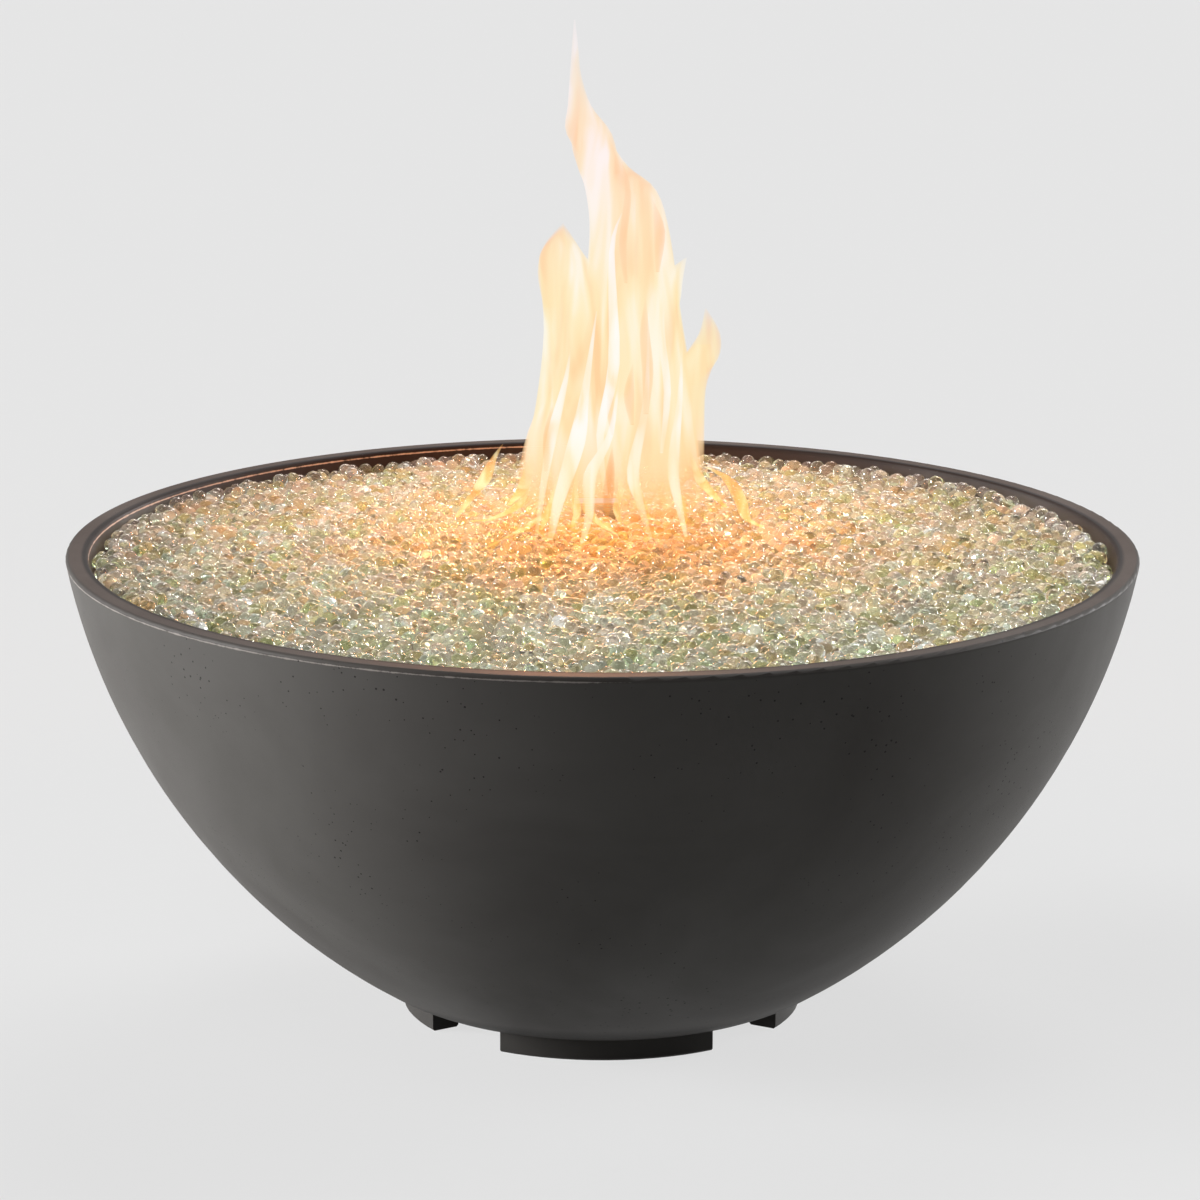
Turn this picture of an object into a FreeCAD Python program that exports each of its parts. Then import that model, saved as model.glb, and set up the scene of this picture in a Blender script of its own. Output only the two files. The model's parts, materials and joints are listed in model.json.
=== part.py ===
"""Gas fire pit bowl: a cast concrete bowl on four feet, with a glass-covered ring burner inside.

Millimetres, +Z up, origin on the ground under the bowl's centre. The controls are at the back, on +Y.
"""

import FreeCAD, Part
import math
import os
import re

import Sketcher

Vector = FreeCAD.Vector
Rotation = FreeCAD.Rotation
Placement = FreeCAD.Placement

doc = FreeCAD.newDocument("fire_pit_bowl")
sheet = doc.addObject("Spreadsheet::Sheet", "Sizes")

# Driving sizes: millimetres, degrees and counts
SIZES = {
    # Bowl: the outside is one arc, upright to within the lean at the rim, that meets the underside's
    # level at the foot radius
    "bowl_height": 476,
    "rim_radius": 536.5,
    "wall_foot_radius": 196.9,
    "rim_lean": 11,
    "wall_thickness": 22,
    "rim_rounding": 3.5,
    "base_clearance": 14,
    "base_blend_radius": 150,
    "inlet_hole_radius": 50,
    "ledge_below_rim": 53,
    "ledge_width": 27,
    "ledge_drop": 92,
    # Feet: four curved blocks of one ring
    "foot_outer_radius": 202,
    "foot_width": 30,
    "foot_sweep": 63,
    "foot_count": 4,
    "foot_chamfer": 2,
    # Media tray
    "tray_wall_gap": 4.5,
    "tray_pan_gap": 3.5,
    "tray_sheet": 2,
    "tray_outer_lip": 8,
    "tray_inner_lip": 12,
    "tray_rib_depth": 25,
    "tray_rib_sheet": 3,
    "tray_rib_end_gap": 4,
    "tray_rib_count": 8,
    "tray_drain_radius": 4,
    "tray_drain_count": 24,
    # Burner pan
    "pan_radius": 236.5,
    "pan_flange_width": 17.5,
    "pan_sheet": 1.5,
    "pan_depth": 38,
    "pan_weep_radius": 3,
    "pan_weep_count": 8,
    "pan_weep_circle": 110,
    "pan_screw_inset": 7,
    "pan_screw_count": 4,
    "pan_screw_length": 10,
    "small_screw_radius": 2,
    "small_head_radius": 3.6,
    "small_head_height": 2,
    # Burner
    "burner_circle_radius": 152.5,
    "burner_tube_radius": 9.5,
    "burner_tube_wall": 1.5,
    "burner_lift": 41,
    "burner_port_radius": 1.6,
    "burner_port_count": 36,
    "hub_radius": 17,
    "hub_height": 24,
    "nipple_radius": 10.65,
    "nipple_bore_radius": 7.9,
    "nipple_length": 88,
    "nipple_engagement": 12,
    "lock_nut_flats": 32,
    "lock_nut_height": 8,
    # Mixer and air shutter
    "mixer_radius": 14.5,
    "mixer_bore_radius": 9,
    "mixer_length": 90,
    "air_window_height": 18,
    "air_window_width": 13,
    "air_window_count": 3,
    "air_window_rise": 23,
    "shutter_wall": 2,
    "shutter_overlap": 5,
    "thumb_head_radius": 5,
    "thumb_head_height": 4,
    "thumb_head_standoff": 4,
    "orifice_head_flats": 17,
    "orifice_head_height": 6,
    "orifice_bore_radius": 1.2,
    # Gas fittings and hoses
    "flare_radius": 7.94,
    "flare_length": 14,
    "flare_bore_radius": 5,
    "elbow_radius": 10.5,
    "elbow_reach": 40,
    "elbow_drop": 16,
    "hose_radius": 6.5,
    "hose_bore_radius": 4.5,
    "hose_nut_flats": 22,
    "hose_nut_length": 18,
    "inlet_plate_radius": 72,
    "inlet_plate_sheet": 3,
    "inlet_drain_radius": 4,
    "inlet_drain_circle": 30,
    "inlet_drain_count": 6,
    "inlet_screw_circle": 61,
    "inlet_screw_count": 4,
    "inlet_hex_height": 8,
    "inlet_barrel_radius": 9,
    "inlet_relief_length": 2,
    "inlet_relief_depth": 0.5,
    "inlet_tail_length": 20,
    # Casting inserts and their screws
    "insert_radius": 4,
    "insert_length": 9,
    "large_screw_radius": 2.5,
    "large_head_radius": 4.6,
    "large_head_height": 2.8,
    # Control plate: its centre is on the back of the bowl, this far below the rim
    "panel_below_rim": 186,
    "panel_width": 164,
    "panel_depth": 92,
    "panel_corner_radius": 9,
    "panel_sheet": 2,
    "panel_recess": 10.5,
    "panel_gap": 1.5,
    "panel_screw_spacing_x": 146,
    "panel_screw_spacing_y": 74,
    "window_width": 122,
    "window_depth": 56,
    # Valve and knob
    "valve_offset": -32,
    "valve_width": 38,
    "valve_tall": 34,
    "valve_length": 48,
    "bonnet_radius": 9,
    "bonnet_height": 5,
    "port_radius": 8.5,
    "port_setback": 38,
    "port_length": 9,
    "valve_screw_spacing": 28,
    "valve_screw_length": 10,
    "stem_radius": 4,
    "stem_depth": 12,
    "washer_radius": 7.5,
    "washer_sheet": 1,
    "knob_spring_radius": 6.8,
    "knob_spring_wall": 1.1,
    "knob_spring_length": 6.2,
    "bezel_radius": 31,
    "bezel_bore_radius": 18.6,
    "bezel_height": 2.5,
    "knob_radius": 25,
    "knob_skirt_height": 5,
    "knob_grip_radius": 21,
    "knob_height": 24,
    "knob_wall": 3,
    "knob_hub_radius": 8,
    "knob_bar_width": 13,
    "knob_bar_rise": 6,
    "knob_press": 3.5,
    # Igniter
    "igniter_offset": 34,
    "barrel_radius": 11,
    "barrel_length": 62,
    "igniter_flange_radius": 15.5,
    "igniter_flange_height": 2,
    "igniter_neck_radius": 12,
    "igniter_neck_height": 8,
    "igniter_neck_bore_radius": 9.6,
    "terminal_radius": 3,
    "terminal_length": 8,
    "igniter_nut_flats": 30,
    "igniter_nut_height": 6,
    "battery_radius": 5.25,
    "battery_length": 44.5,
    "battery_nub_radius": 1.9,
    "battery_nub_height": 1,
    "cap_radius": 15,
    "cap_length": 13.5,
    "cap_lip": 2.5,
    "cap_grip_count": 12,
    "cap_grip_radius": 1.2,
    "gasket_height": 1.4,
    "button_radius": 7.9,
    "button_flange_radius": 9.3,
    "button_flange_height": 2.2,
    "button_rise": 4,
    "button_spring_wall": 1,
    # Pilot hood, spark electrode and flame sensor
    "pilot_distance": 214,
    "hood_width": 46,
    "hood_depth": 24,
    "hood_rise_over_ledge": 52,
    "hood_screw_gap": 2,
    "hood_cheek_height": 30,
    "probe_offset": 9,
    "insulator_radius": 3.5,
    "insulator_length": 70,
    "electrode_wire_radius": 1,
    "electrode_wire_length": 11,
    "thermocouple_radius": 2.5,
    "thermocouple_length": 80,
    "thermocouple_tip_length": 8,
    "thermocouple_tip_step": 0.7,
    "probe_tail": 7,
    "lead_radius": 2.2,
    "capillary_radius": 1.5,
    # Glass bed: its level at the wall, its rise to the centre, and the low heaps of gems on it
    "glass_level_below_rim": 12,
    "glass_crown": 3,
    "glass_heap_height": 3,
    "glass_heap_radius": 29,
    "glass_heap_root": 2,
    "glass_ring_count": 7,
    # Clearances
    "fit_gap": 0.06,
    "slide_gap": 0.1,
    "loose_gap": 0.5,
    # Small roundings and steps of moulded parts
    "moulded_rounding": 1.5,
    "knob_edge_step": 1,
}

WALL_REACH = "(rim_radius - wall_foot_radius)"
WALL_RISE = "(bowl_height - rim_rounding - base_clearance)"

# Sizes that follow from the driving ones
DERIVED = {
    "wall_arc_radius": "(%s^2 + %s^2) / (2 * (%s*cos(rim_lean) - %s*sin(rim_lean)))" % (
        WALL_REACH, WALL_RISE, WALL_REACH, WALL_RISE),
    "arc_centre_radius": "rim_radius - wall_arc_radius*cos(rim_lean)",
    "arc_centre_height": "bowl_height - rim_rounding + wall_arc_radius*sin(rim_lean)",
    "inner_arc_radius": "wall_arc_radius - wall_thickness",
    "ledge_height": "bowl_height - ledge_below_rim",
    "ledge_wall_radius": "arc_centre_radius + sqrt(inner_arc_radius^2"
                         " - (arc_centre_height - ledge_height)^2)",
    "tray_radius": "ledge_wall_radius - tray_wall_gap",
    "tray_opening_radius": "pan_radius + tray_pan_gap",
    "tray_drain_circle": "(tray_opening_radius + tray_radius) / 2",
    "pan_flange_radius": "pan_radius + pan_flange_width",
    "pan_screw_circle": "pan_flange_radius - pan_screw_inset",
    "panel_height_on_bowl": "bowl_height - panel_below_rim",
    "glass_edge_radius": "arc_centre_radius + sqrt((inner_arc_radius - loose_gap)^2"
                         " - (arc_centre_height - bowl_height + glass_level_below_rim)^2)",
    "glass_ring_step": "(glass_edge_radius - glass_heap_radius - 3*loose_gap) / glass_ring_count",
}

for row, (alias, content) in enumerate([*SIZES.items(), *DERIVED.items()], start=1):
    sheet.set("A%d" % row, alias)
    sheet.set("B%d" % row, "=" + content if alias in DERIVED else str(content))
    sheet.setAlias("B%d" % row, alias)
doc.recompute()

PARTS = []


def linked(formula):
    """The formula with every size's name written as a link to the sheet. Every name has an underscore."""
    return re.sub(r"\b([a-z]\w*_\w+)\b", r"Sizes.\1", formula)


def value(formula):
    """The formula's number now."""
    return float(sheet.evalExpression(linked(formula)))


def place(x="0", y="0", z="0", rotation=None):
    """A placement from three formulas and a rotation."""
    return Placement(Vector(value(x), value(y), value(z)), rotation or Rotation())


def new_body(name, placement=None):
    """A sub-part: one body, whose label names its file."""
    body = doc.addObject("PartDesign::Body", name)
    body.Label = name
    if placement:
        body.Placement = placement
    PARTS.append(body)
    return body


def origin_feature(body, role):
    return [item for item in body.Origin.OriginFeatures if item.Role == role][0]


def bind_point(sketch, geometry, position, formulas):
    """Ties a sketch point to two formulas."""
    for kind, axis, formula in (("DistanceX", -2, formulas[0]), ("DistanceY", -1, formulas[1])):
        number = value(formula)
        if abs(number) < 1e-9:
            sketch.addConstraint(Sketcher.Constraint("PointOnObject", geometry, position, axis))
        else:
            index = sketch.addConstraint(Sketcher.Constraint(kind, geometry, position, number))
            sketch.setExpression("Constraints[%d]" % index, linked(formula))


def outline(body, name, plane, corners):
    """A closed outline on one of a body's own planes."""
    sketch = body.newObject("Sketcher::SketchObject", name)
    sketch.AttachmentSupport = (origin_feature(body, plane), [""])
    sketch.MapMode = "FlatFace"
    return draw(sketch, corners)


def draw(sketch, corners):
    """Draws a closed outline. A corner is (x, y) or (x, y, radius), where the edge that arrives is an arc.

    The arc's centre lies left of the way along the outline, or right of it for a negative radius.
    """
    points = [Vector(value(corner[0]), value(corner[1]), 0) for corner in corners]
    count = len(points)
    for index in range(count):
        start = points[index]
        end = points[(index + 1) % count]
        corner = corners[(index + 1) % count]
        if len(corner) == 3:
            radius = value(corner[2])
            chord = end - start
            left = Vector(-chord.y, chord.x, 0) / chord.Length
            sagitta = abs(radius) - math.sqrt(radius ** 2 - chord.Length ** 2 / 4)
            middle = (start + end) / 2 - left * math.copysign(sagitta, radius)
            tips = (start, end) if radius > 0 else (end, start)
            sketch.addGeometry(Part.Arc(tips[0], middle, tips[1]), False)
        else:
            sketch.addGeometry(Part.LineSegment(start, end), False)
    ends = []
    for index in range(count):
        forward = (sketch.Geometry[index].StartPoint - points[index]).Length < 1e-6
        ends.append((1, 2) if forward else (2, 1))
    for index in range(count):
        after = (index + 1) % count
        join = Sketcher.Constraint("Coincident", index, ends[index][1], after, ends[after][0])
        sketch.addConstraint(join)
        bind_point(sketch, index, ends[index][0], corners[index])
        if len(corners[after]) == 3:
            radius = "abs(%s)" % corners[after][2]
            size = sketch.addConstraint(Sketcher.Constraint("Radius", index, value(radius)))
            sketch.setExpression("Constraints[%d]" % size, linked(radius))
    return sketch


def turned(body, name, corners, cut=False):
    """Turns an outline of (radius, height) corners about the body's Z axis."""
    sketch = outline(body, name + "_outline", "XZ_Plane", corners)
    kind = "PartDesign::Groove" if cut else "PartDesign::Revolution"
    feature = body.newObject(kind, name)
    feature.Profile = sketch
    feature.ReferenceAxis = (sketch, ["V_Axis"])
    feature.Angle = 360
    return feature


def revolved(name, corners):
    """A solid of revolution whose wall is an arc of a circle that reaches past the axis."""
    sketch = doc.addObject("Sketcher::SketchObject", name + "_outline")
    sketch.Placement = Placement(Vector(), Rotation(Vector(1, 0, 0), 90))
    draw(sketch, corners)
    solid = doc.addObject("Part::Revolution", name)
    solid.Source = sketch
    solid.Axis = Vector(0, 0, 1)
    solid.Angle = 360
    solid.Solid = True
    return solid


def primitive(body, kind, name, sizes, at=("0", "0", "0"), rotation=None):
    """A PartDesign primitive, such as AdditiveBox, with its sizes and its place bound to formulas."""
    feature = body.newObject("PartDesign::" + kind, name)
    for key, formula in sizes.items():
        feature.setExpression(key, linked(formula))
    if rotation:
        feature.Placement = Placement(Vector(), rotation)
    for letter, formula in zip("xyz", at):
        feature.setExpression("Placement.Base." + letter, linked(formula))
    return feature


def rod(body, name, radius, length, at=("0", "0", "0"), rotation=None, cut=False):
    kind = "SubtractiveCylinder" if cut else "AdditiveCylinder"
    return primitive(body, kind, name, {"Radius": radius, "Height": length}, at, rotation)


def block(body, name, size, at=("0", "0", "0"), cut=False):
    """A box of that size, centred in X and Y on its place and standing on it."""
    kind = "SubtractiveBox" if cut else "AdditiveBox"
    corner = ("%s - (%s)/2" % (at[0], size[0]), "%s - (%s)/2" % (at[1], size[1]), at[2])
    return primitive(body, kind, name, dict(zip(("Length", "Width", "Height"), size)), corner)


def hexagon(body, name, flats, height, at=("0", "0", "0"), rotation=None):
    sizes = {"Circumradius": "(%s)/sqrt(3)" % flats, "Height": height}
    feature = primitive(body, "AdditivePrism", name, sizes, at, rotation)
    feature.Polygon = 6
    return feature


def around(body, name, feature, count):
    """Repeats a feature evenly about the body's Z axis."""
    pattern = body.newObject("PartDesign::PolarPattern", name)
    pattern.Originals = [feature]
    pattern.Axis = (origin_feature(body, "Z_Axis"), [""])
    pattern.Angle = 360
    pattern.setExpression("Occurrences", linked(count))
    body.Tip = pattern
    return pattern


def polar(radius, angle):
    """Formulas for the point at that radius and angle about Z."""
    return "(%s)*cos(%s)" % (radius, angle), "(%s)*sin(%s)" % (radius, angle)


# Levels and radii that follow from the driving sizes
BLEND_ARC = "(wall_arc_radius - base_blend_radius)"
BLEND_Z = "(base_clearance + base_blend_radius)"
BLEND_R = "(arc_centre_radius + sqrt(%s^2 - (arc_centre_height - %s)^2))" % (BLEND_ARC, BLEND_Z)
FLOOR_TOP = "(base_clearance + wall_thickness)"
TRAY_TOP = "(ledge_height + tray_sheet)"
PAN_FLOOR = "(%s - pan_depth)" % TRAY_TOP
PAN_TOP = "(%s + pan_sheet)" % PAN_FLOOR
BURNER_Z = "(%s + burner_lift)" % PAN_FLOOR
HUB_FOOT = "(%s - hub_height/2)" % BURNER_Z
NIPPLE_TOP = "(%s + nipple_engagement)" % HUB_FOOT
NIPPLE_FOOT = "(%s - nipple_length)" % NIPPLE_TOP
MIXER_TOP = "(%s + nipple_engagement)" % NIPPLE_FOOT
MIXER_FOOT = "(%s - mixer_length)" % MIXER_TOP
WINDOW_Z = "(%s + air_window_rise)" % MIXER_FOOT
SHUTTER_SCREW_Z = "(%s + air_window_height/2)" % WINDOW_Z
MIXER_ELBOW_Z = "(%s - orifice_head_height - elbow_drop)" % MIXER_FOOT
INLET_PLATE_TOP = "(%s + inlet_plate_sheet)" % FLOOR_TOP
INLET_HEX_TOP = "(%s + inlet_hex_height)" % INLET_PLATE_TOP
INLET_ELBOW_Z = "(%s + elbow_drop)" % INLET_HEX_TOP
GLASS_EDGE = "(bowl_height - glass_level_below_rim)"
HOOD_TOP = "(ledge_height + hood_rise_over_ledge)"


def wall_radius(arc, height):
    """The radius of a wall arc at a height."""
    return "(arc_centre_radius + sqrt(%s^2 - (arc_centre_height - (%s))^2))" % (arc, height)


def blend_point(arc):
    """Where the base's blend meets a wall arc: (radius, height)."""
    reach = "(%s/%s)" % (arc, BLEND_ARC)
    radius = "(arc_centre_radius + (%s - arc_centre_radius)*%s)" % (BLEND_R, reach)
    height = "(arc_centre_height - (arc_centre_height - %s)*%s)" % (BLEND_Z, reach)
    return radius, height


# The control plate's own frame: its origin is the centre of the plate's back, +Z points out of the bowl
PANEL_LEAN = math.asin(value("(arc_centre_height - panel_height_on_bowl)/wall_arc_radius"))
PANEL_OUT = Vector(0, math.cos(PANEL_LEAN), -math.sin(PANEL_LEAN))
PANEL_UP = Vector(0, math.sin(PANEL_LEAN), math.cos(PANEL_LEAN))
PANEL_SIDE = PANEL_UP.cross(PANEL_OUT)
PANEL_POINT = Vector(0, value(wall_radius("wall_arc_radius", "panel_height_on_bowl")),
                     value("panel_height_on_bowl"))
PANEL = Placement(PANEL_POINT - PANEL_OUT * value("panel_recess"),
                  Rotation(PANEL_SIDE, PANEL_UP, PANEL_OUT, "ZXY"))


def on_panel(x="0", y="0", z="0", rotation=None):
    """A placement given in the control plate's frame."""
    return PANEL.multiply(place(x, y, z, rotation))


def bowl_wall():
    """The bowl's wall, floor and ledge, turned about its axis."""
    outer_blend = blend_point("wall_arc_radius")
    inner_blend = blend_point("inner_arc_radius")
    rim_side = "(bowl_height - rim_rounding)"
    rim_outer = wall_radius("wall_arc_radius", rim_side)
    rim_inner = wall_radius("inner_arc_radius", rim_side)
    ledge_foot = "(ledge_height - ledge_drop)"
    return revolved("bowl_wall", [
        ("inlet_hole_radius", "base_clearance"),
        (BLEND_R, "base_clearance"),
        (outer_blend[0], outer_blend[1], "base_blend_radius"),
        (rim_outer, rim_side, "wall_arc_radius"),
        (rim_outer + " - rim_rounding", "bowl_height", "rim_rounding"),
        (rim_inner + " + rim_rounding", "bowl_height"),
        (rim_inner, rim_side, "rim_rounding"),
        ("ledge_wall_radius", "ledge_height", "-inner_arc_radius"),
        ("ledge_wall_radius - ledge_width", "ledge_height"),
        (wall_radius("inner_arc_radius", ledge_foot), ledge_foot),
        (inner_blend[0], inner_blend[1], "-inner_arc_radius"),
        (BLEND_R, FLOOR_TOP, "-(base_blend_radius - wall_thickness)"),
        ("inlet_hole_radius", FLOOR_TOP),
    ])


def bowl_feet():
    """Four curved blocks with bevelled edges, whose tops lie inside the bowl's floor."""
    body = doc.addObject("PartDesign::Body", "bowl_feet")
    foot_inner = "(foot_outer_radius - foot_width)"
    foot_top = "(base_clearance + wall_thickness/2)"
    foot = turned(body, "foot", [
        (foot_inner, foot_top),
        (foot_inner, "foot_chamfer"),
        (foot_inner + " + foot_chamfer", "0"),
        ("foot_outer_radius - foot_chamfer", "0"),
        ("foot_outer_radius", "foot_chamfer"),
        ("foot_outer_radius", foot_top),
    ])
    foot.Midplane = True
    foot.setExpression("Angle", linked("foot_sweep"))
    around(body, "feet", foot, "foot_count")
    return body


def bowl_cutter():
    """What the casting leaves open for the control plate, and the bores for its inserts."""
    body = doc.addObject("PartDesign::Body", "bowl_openings")
    body.Placement = PANEL
    rounded_plate(body, "recess", "panel_width + 2*panel_gap", "panel_depth + 2*panel_gap",
                  "panel_corner_radius + panel_gap", "2*panel_recess")
    block(body, "window", ("window_width", "window_depth", "4*wall_thickness"),
          ("0", "0", "-4*wall_thickness + 1"))
    bores(body, "insert_bore", panel_screw_places(), "insert_radius", "insert_length + loose_gap",
          "-insert_length - loose_gap", cut=False)
    return body


def base_bores():
    """The bores for the inserts in the bowl's floor."""
    body = doc.addObject("PartDesign::Body", "base_bores")
    bore = rod(body, "base_bore", "insert_radius", "insert_length + loose_gap",
               ("inlet_screw_circle", "0", FLOOR_TOP + " - insert_length - loose_gap"))
    around(body, "base_bore_ring", bore, "inlet_screw_count")
    return body


def rounded_plate(body, name, width, depth, corner, height):
    """A plate with four rounded corners, on the body's XY plane."""
    right = "((%s)/2)" % width
    top = "((%s)/2)" % depth
    inner_x = "(%s - (%s))" % (right, corner)
    inner_y = "(%s - (%s))" % (top, corner)
    plan = outline(body, name + "_outline", "XY_Plane", [
        ("-" + inner_x, "-" + top, corner),
        (inner_x, "-" + top),
        (right, "-" + inner_y, corner),
        (right, inner_y),
        (inner_x, top, corner),
        ("-" + inner_x, top),
        ("-" + right, inner_y, corner),
        ("-" + right, "-" + inner_y),
    ])
    pad = body.newObject("PartDesign::Pad", name)
    pad.Profile = plan
    pad.setExpression("Length", linked(height))
    return pad


def panel_screw_places():
    """The four corners of the control plate's screw pattern, in its own frame."""
    return [("%d*panel_screw_spacing_x/2" % sx, "%d*panel_screw_spacing_y/2" % sy)
            for sx in (-1, 1) for sy in (-1, 1)]


def bores(body, name, places, radius, length, foot, cut=True):
    """One rod at each place, cut or added."""
    for index, (x, y) in enumerate(places, start=1):
        rod(body, "%s_%d" % (name, index), radius, length, (x, y, foot), cut=cut)


def bowl_shell():
    """The casting with the openings for its controls cut out."""
    casting = doc.addObject("Part::MultiFuse", "bowl_casting")
    casting.Shapes = [bowl_wall(), bowl_feet()]
    openings = doc.addObject("Part::MultiFuse", "openings")
    openings.Shapes = [bowl_cutter(), base_bores()]
    shell = doc.addObject("Part::Cut", "bowl_shell")
    shell.Label = "bowl_shell"
    shell.Base = casting
    shell.Tool = openings
    PARTS.append(shell)


def media_tray():
    """Sheet-steel ring on the ledge, with turned lips and drain holes."""
    body = new_body("media_tray")
    turned(body, "tray_sheet_metal", [
        ("tray_opening_radius", "ledge_height - tray_inner_lip"),
        ("tray_opening_radius + tray_sheet", "ledge_height - tray_inner_lip"),
        ("tray_opening_radius + tray_sheet", "ledge_height"),
        ("tray_radius", "ledge_height"),
        ("tray_radius", TRAY_TOP + " + tray_outer_lip"),
        ("tray_radius - tray_sheet", TRAY_TOP + " + tray_outer_lip"),
        ("tray_radius - tray_sheet", TRAY_TOP),
        ("tray_opening_radius", TRAY_TOP),
    ])
    half_step = "180/tray_drain_count"
    drain = rod(body, "tray_drain", "tray_drain_radius", "4*tray_sheet",
                polar("tray_drain_circle", half_step) + ("ledge_height - tray_sheet",), cut=True)
    around(body, "tray_drains", drain, "tray_drain_count")
    hole = rod(body, "tray_screw_hole", "small_screw_radius + slide_gap", "4*tray_sheet",
               polar("pan_screw_circle", "180/tray_rib_count") + ("ledge_height - tray_sheet",), cut=True)
    around(body, "tray_screw_holes", hole, "pan_screw_count")


def tray_ribs():
    """Ribs welded under the tray, from its inner lip almost to the ledge: one solid each."""
    start = value("tray_opening_radius + tray_sheet + slide_gap")
    length = value("ledge_wall_radius - ledge_width - tray_rib_end_gap") - start
    sheet_width = value("tray_rib_sheet")
    corner = Vector(start, -sheet_width / 2, value("ledge_height - tray_rib_depth"))
    rib = Part.makeBox(length, sheet_width, value("tray_rib_depth"), corner)
    count = int(value("tray_rib_count"))
    group("tray_ribs", [rib.rotated(Vector(), Vector(0, 0, 1), 360 * index / count)
                        for index in range(count)])


def burner_pan():
    """Drop-in pan: its flange lies on the tray, and its floor carries the burner and the pilot."""
    body = new_body("burner_pan")
    nipple_hole = "nipple_radius + slide_gap"
    turned(body, "pan_sheet_metal", [
        (nipple_hole, PAN_FLOOR),
        ("pan_radius", PAN_FLOOR),
        ("pan_radius", TRAY_TOP),
        ("pan_flange_radius", TRAY_TOP),
        ("pan_flange_radius", TRAY_TOP + " + pan_sheet"),
        ("pan_radius - pan_sheet", TRAY_TOP + " + pan_sheet"),
        ("pan_radius - pan_sheet", PAN_TOP),
        (nipple_hole, PAN_TOP),
    ])
    weep = rod(body, "weep_hole", "pan_weep_radius", "4*pan_sheet",
               ("pan_weep_circle", "0", PAN_FLOOR + " - pan_sheet"), cut=True)
    around(body, "weep_holes", weep, "pan_weep_count")
    hole = rod(body, "flange_hole", "small_screw_radius + slide_gap", "4*pan_sheet",
               polar("pan_screw_circle", "180/tray_rib_count") + (TRAY_TOP + " - pan_sheet",), cut=True)
    around(body, "flange_holes", hole, "pan_screw_count")
    pilot_holes(body, PAN_FLOOR)


def pilot_holes(body, level):
    """Holes for the electrode, the thermocouple and the two pilot screws in a sheet at that level."""
    foot = level + " - pan_sheet"
    for name, side, radius in (("electrode", "-probe_offset", "insulator_radius"),
                               ("sensor", "probe_offset", "thermocouple_radius")):
        rod(body, name + "_hole", radius + " + fit_gap", "4*pan_sheet",
            (side, "pilot_distance", foot), cut=True)
    bores(body, "pilot_screw_hole", pilot_screw_places(), "small_screw_radius + slide_gap",
          "4*pan_sheet", foot)


def pilot_screw_places():
    return [("%d*(hood_width/2 - small_head_radius - hood_screw_gap)" % side, "pilot_distance")
            for side in (-1, 1)]


# A pan head's rounding and socket, as shares of its head's height and its shank's radius
HEAD_ROUNDING = 0.45
SOCKET_DEPTH = 0.5
SOCKET_WIDTH = 0.6


def screw_group(name, places, radius, length, head_radius, head_height, placement=None):
    """Pan-head screws, one solid each. Heads stand on the local XY plane, shanks go down from it."""
    shapes = []
    for x, y in places:
        shank = Part.makeCylinder(value(radius), value(length), Vector(value(x), value(y), -value(length)))
        head = Part.makeCylinder(value(head_radius), value(head_height), Vector(value(x), value(y), 0))
        rim = [edge for edge in head.Edges if edge.BoundBox.ZMin > value(head_height) - 0.01]
        head = head.makeFillet(value(head_height) * HEAD_ROUNDING, [edge for edge in rim if edge.Closed])
        socket = Part.makeCylinder(value(radius) * SOCKET_WIDTH, value(head_height) * SOCKET_DEPTH,
                                   Vector(value(x), value(y), value(head_height) * (1 - SOCKET_DEPTH)))
        shapes.append(head.cut(socket).fuse(shank))
    group(name, shapes, placement)


def group(name, shapes, placement=None):
    """A sub-part whose shape is set directly: one solid, or several that are alike."""
    feature = doc.addObject("Part::Feature", name)
    feature.Label = name
    feature.Shape = shapes[0] if len(shapes) == 1 else Part.makeCompound(shapes)
    if placement:
        feature.Placement = placement
    PARTS.append(feature)
    return feature


def ring_places(circle, count, start="0"):
    """Places of a screw ring, as formulas."""
    return [polar(circle, "%s + %d*360/%s" % (start, index, count)) for index in range(int(value(count)))]


def burner_ring():
    """Ring tube with ports on top, two arms and the hub, welded into one hollow piece."""
    circle = value("burner_circle_radius")
    radius = value("burner_tube_radius")
    bore = radius - value("burner_tube_wall")
    level = value(BURNER_Z)
    hub_foot = value(HUB_FOOT)
    hub_height = value("hub_height")
    centre = Vector(0, 0, level)
    along_x = Vector(1, 0, 0)

    def skeleton(tube):
        ring = Part.makeTorus(circle, tube, centre)
        arms = Part.makeCylinder(tube, 2 * circle, Vector(-circle, 0, level), along_x)
        return ring, arms

    ring, arms = skeleton(radius)
    hub = Part.makeCylinder(value("hub_radius"), hub_height, Vector(0, 0, hub_foot))
    outside = ring.fuse([arms, hub])
    ring_bore, arm_bore = skeleton(bore)
    socket = Part.makeCylinder(value("nipple_radius"), value("nipple_engagement"), Vector(0, 0, hub_foot))
    throat = Part.makeCylinder(bore, hub_height / 2, Vector(0, 0, hub_foot))
    inside = ring_bore.fuse([arm_bore, socket, throat])
    ports = []
    count = int(value("burner_port_count"))
    for index in range(count):
        angle = math.radians(360 * (index + 0.5) / count)
        foot = Vector(circle * math.cos(angle), circle * math.sin(angle), level)
        ports.append(Part.makeCylinder(value("burner_port_radius"), 2 * radius, foot))
    group("burner_ring", [outside.cut(inside).cut(ports)])


def burner_nipple():
    """Pipe nipple from the hub, through the pan, to the mixer."""
    body = new_body("burner_nipple")
    turned(body, "nipple_wall", [
        ("nipple_bore_radius", NIPPLE_FOOT),
        ("nipple_radius", NIPPLE_FOOT),
        ("nipple_radius", NIPPLE_TOP),
        ("nipple_bore_radius", NIPPLE_TOP),
    ])


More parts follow.
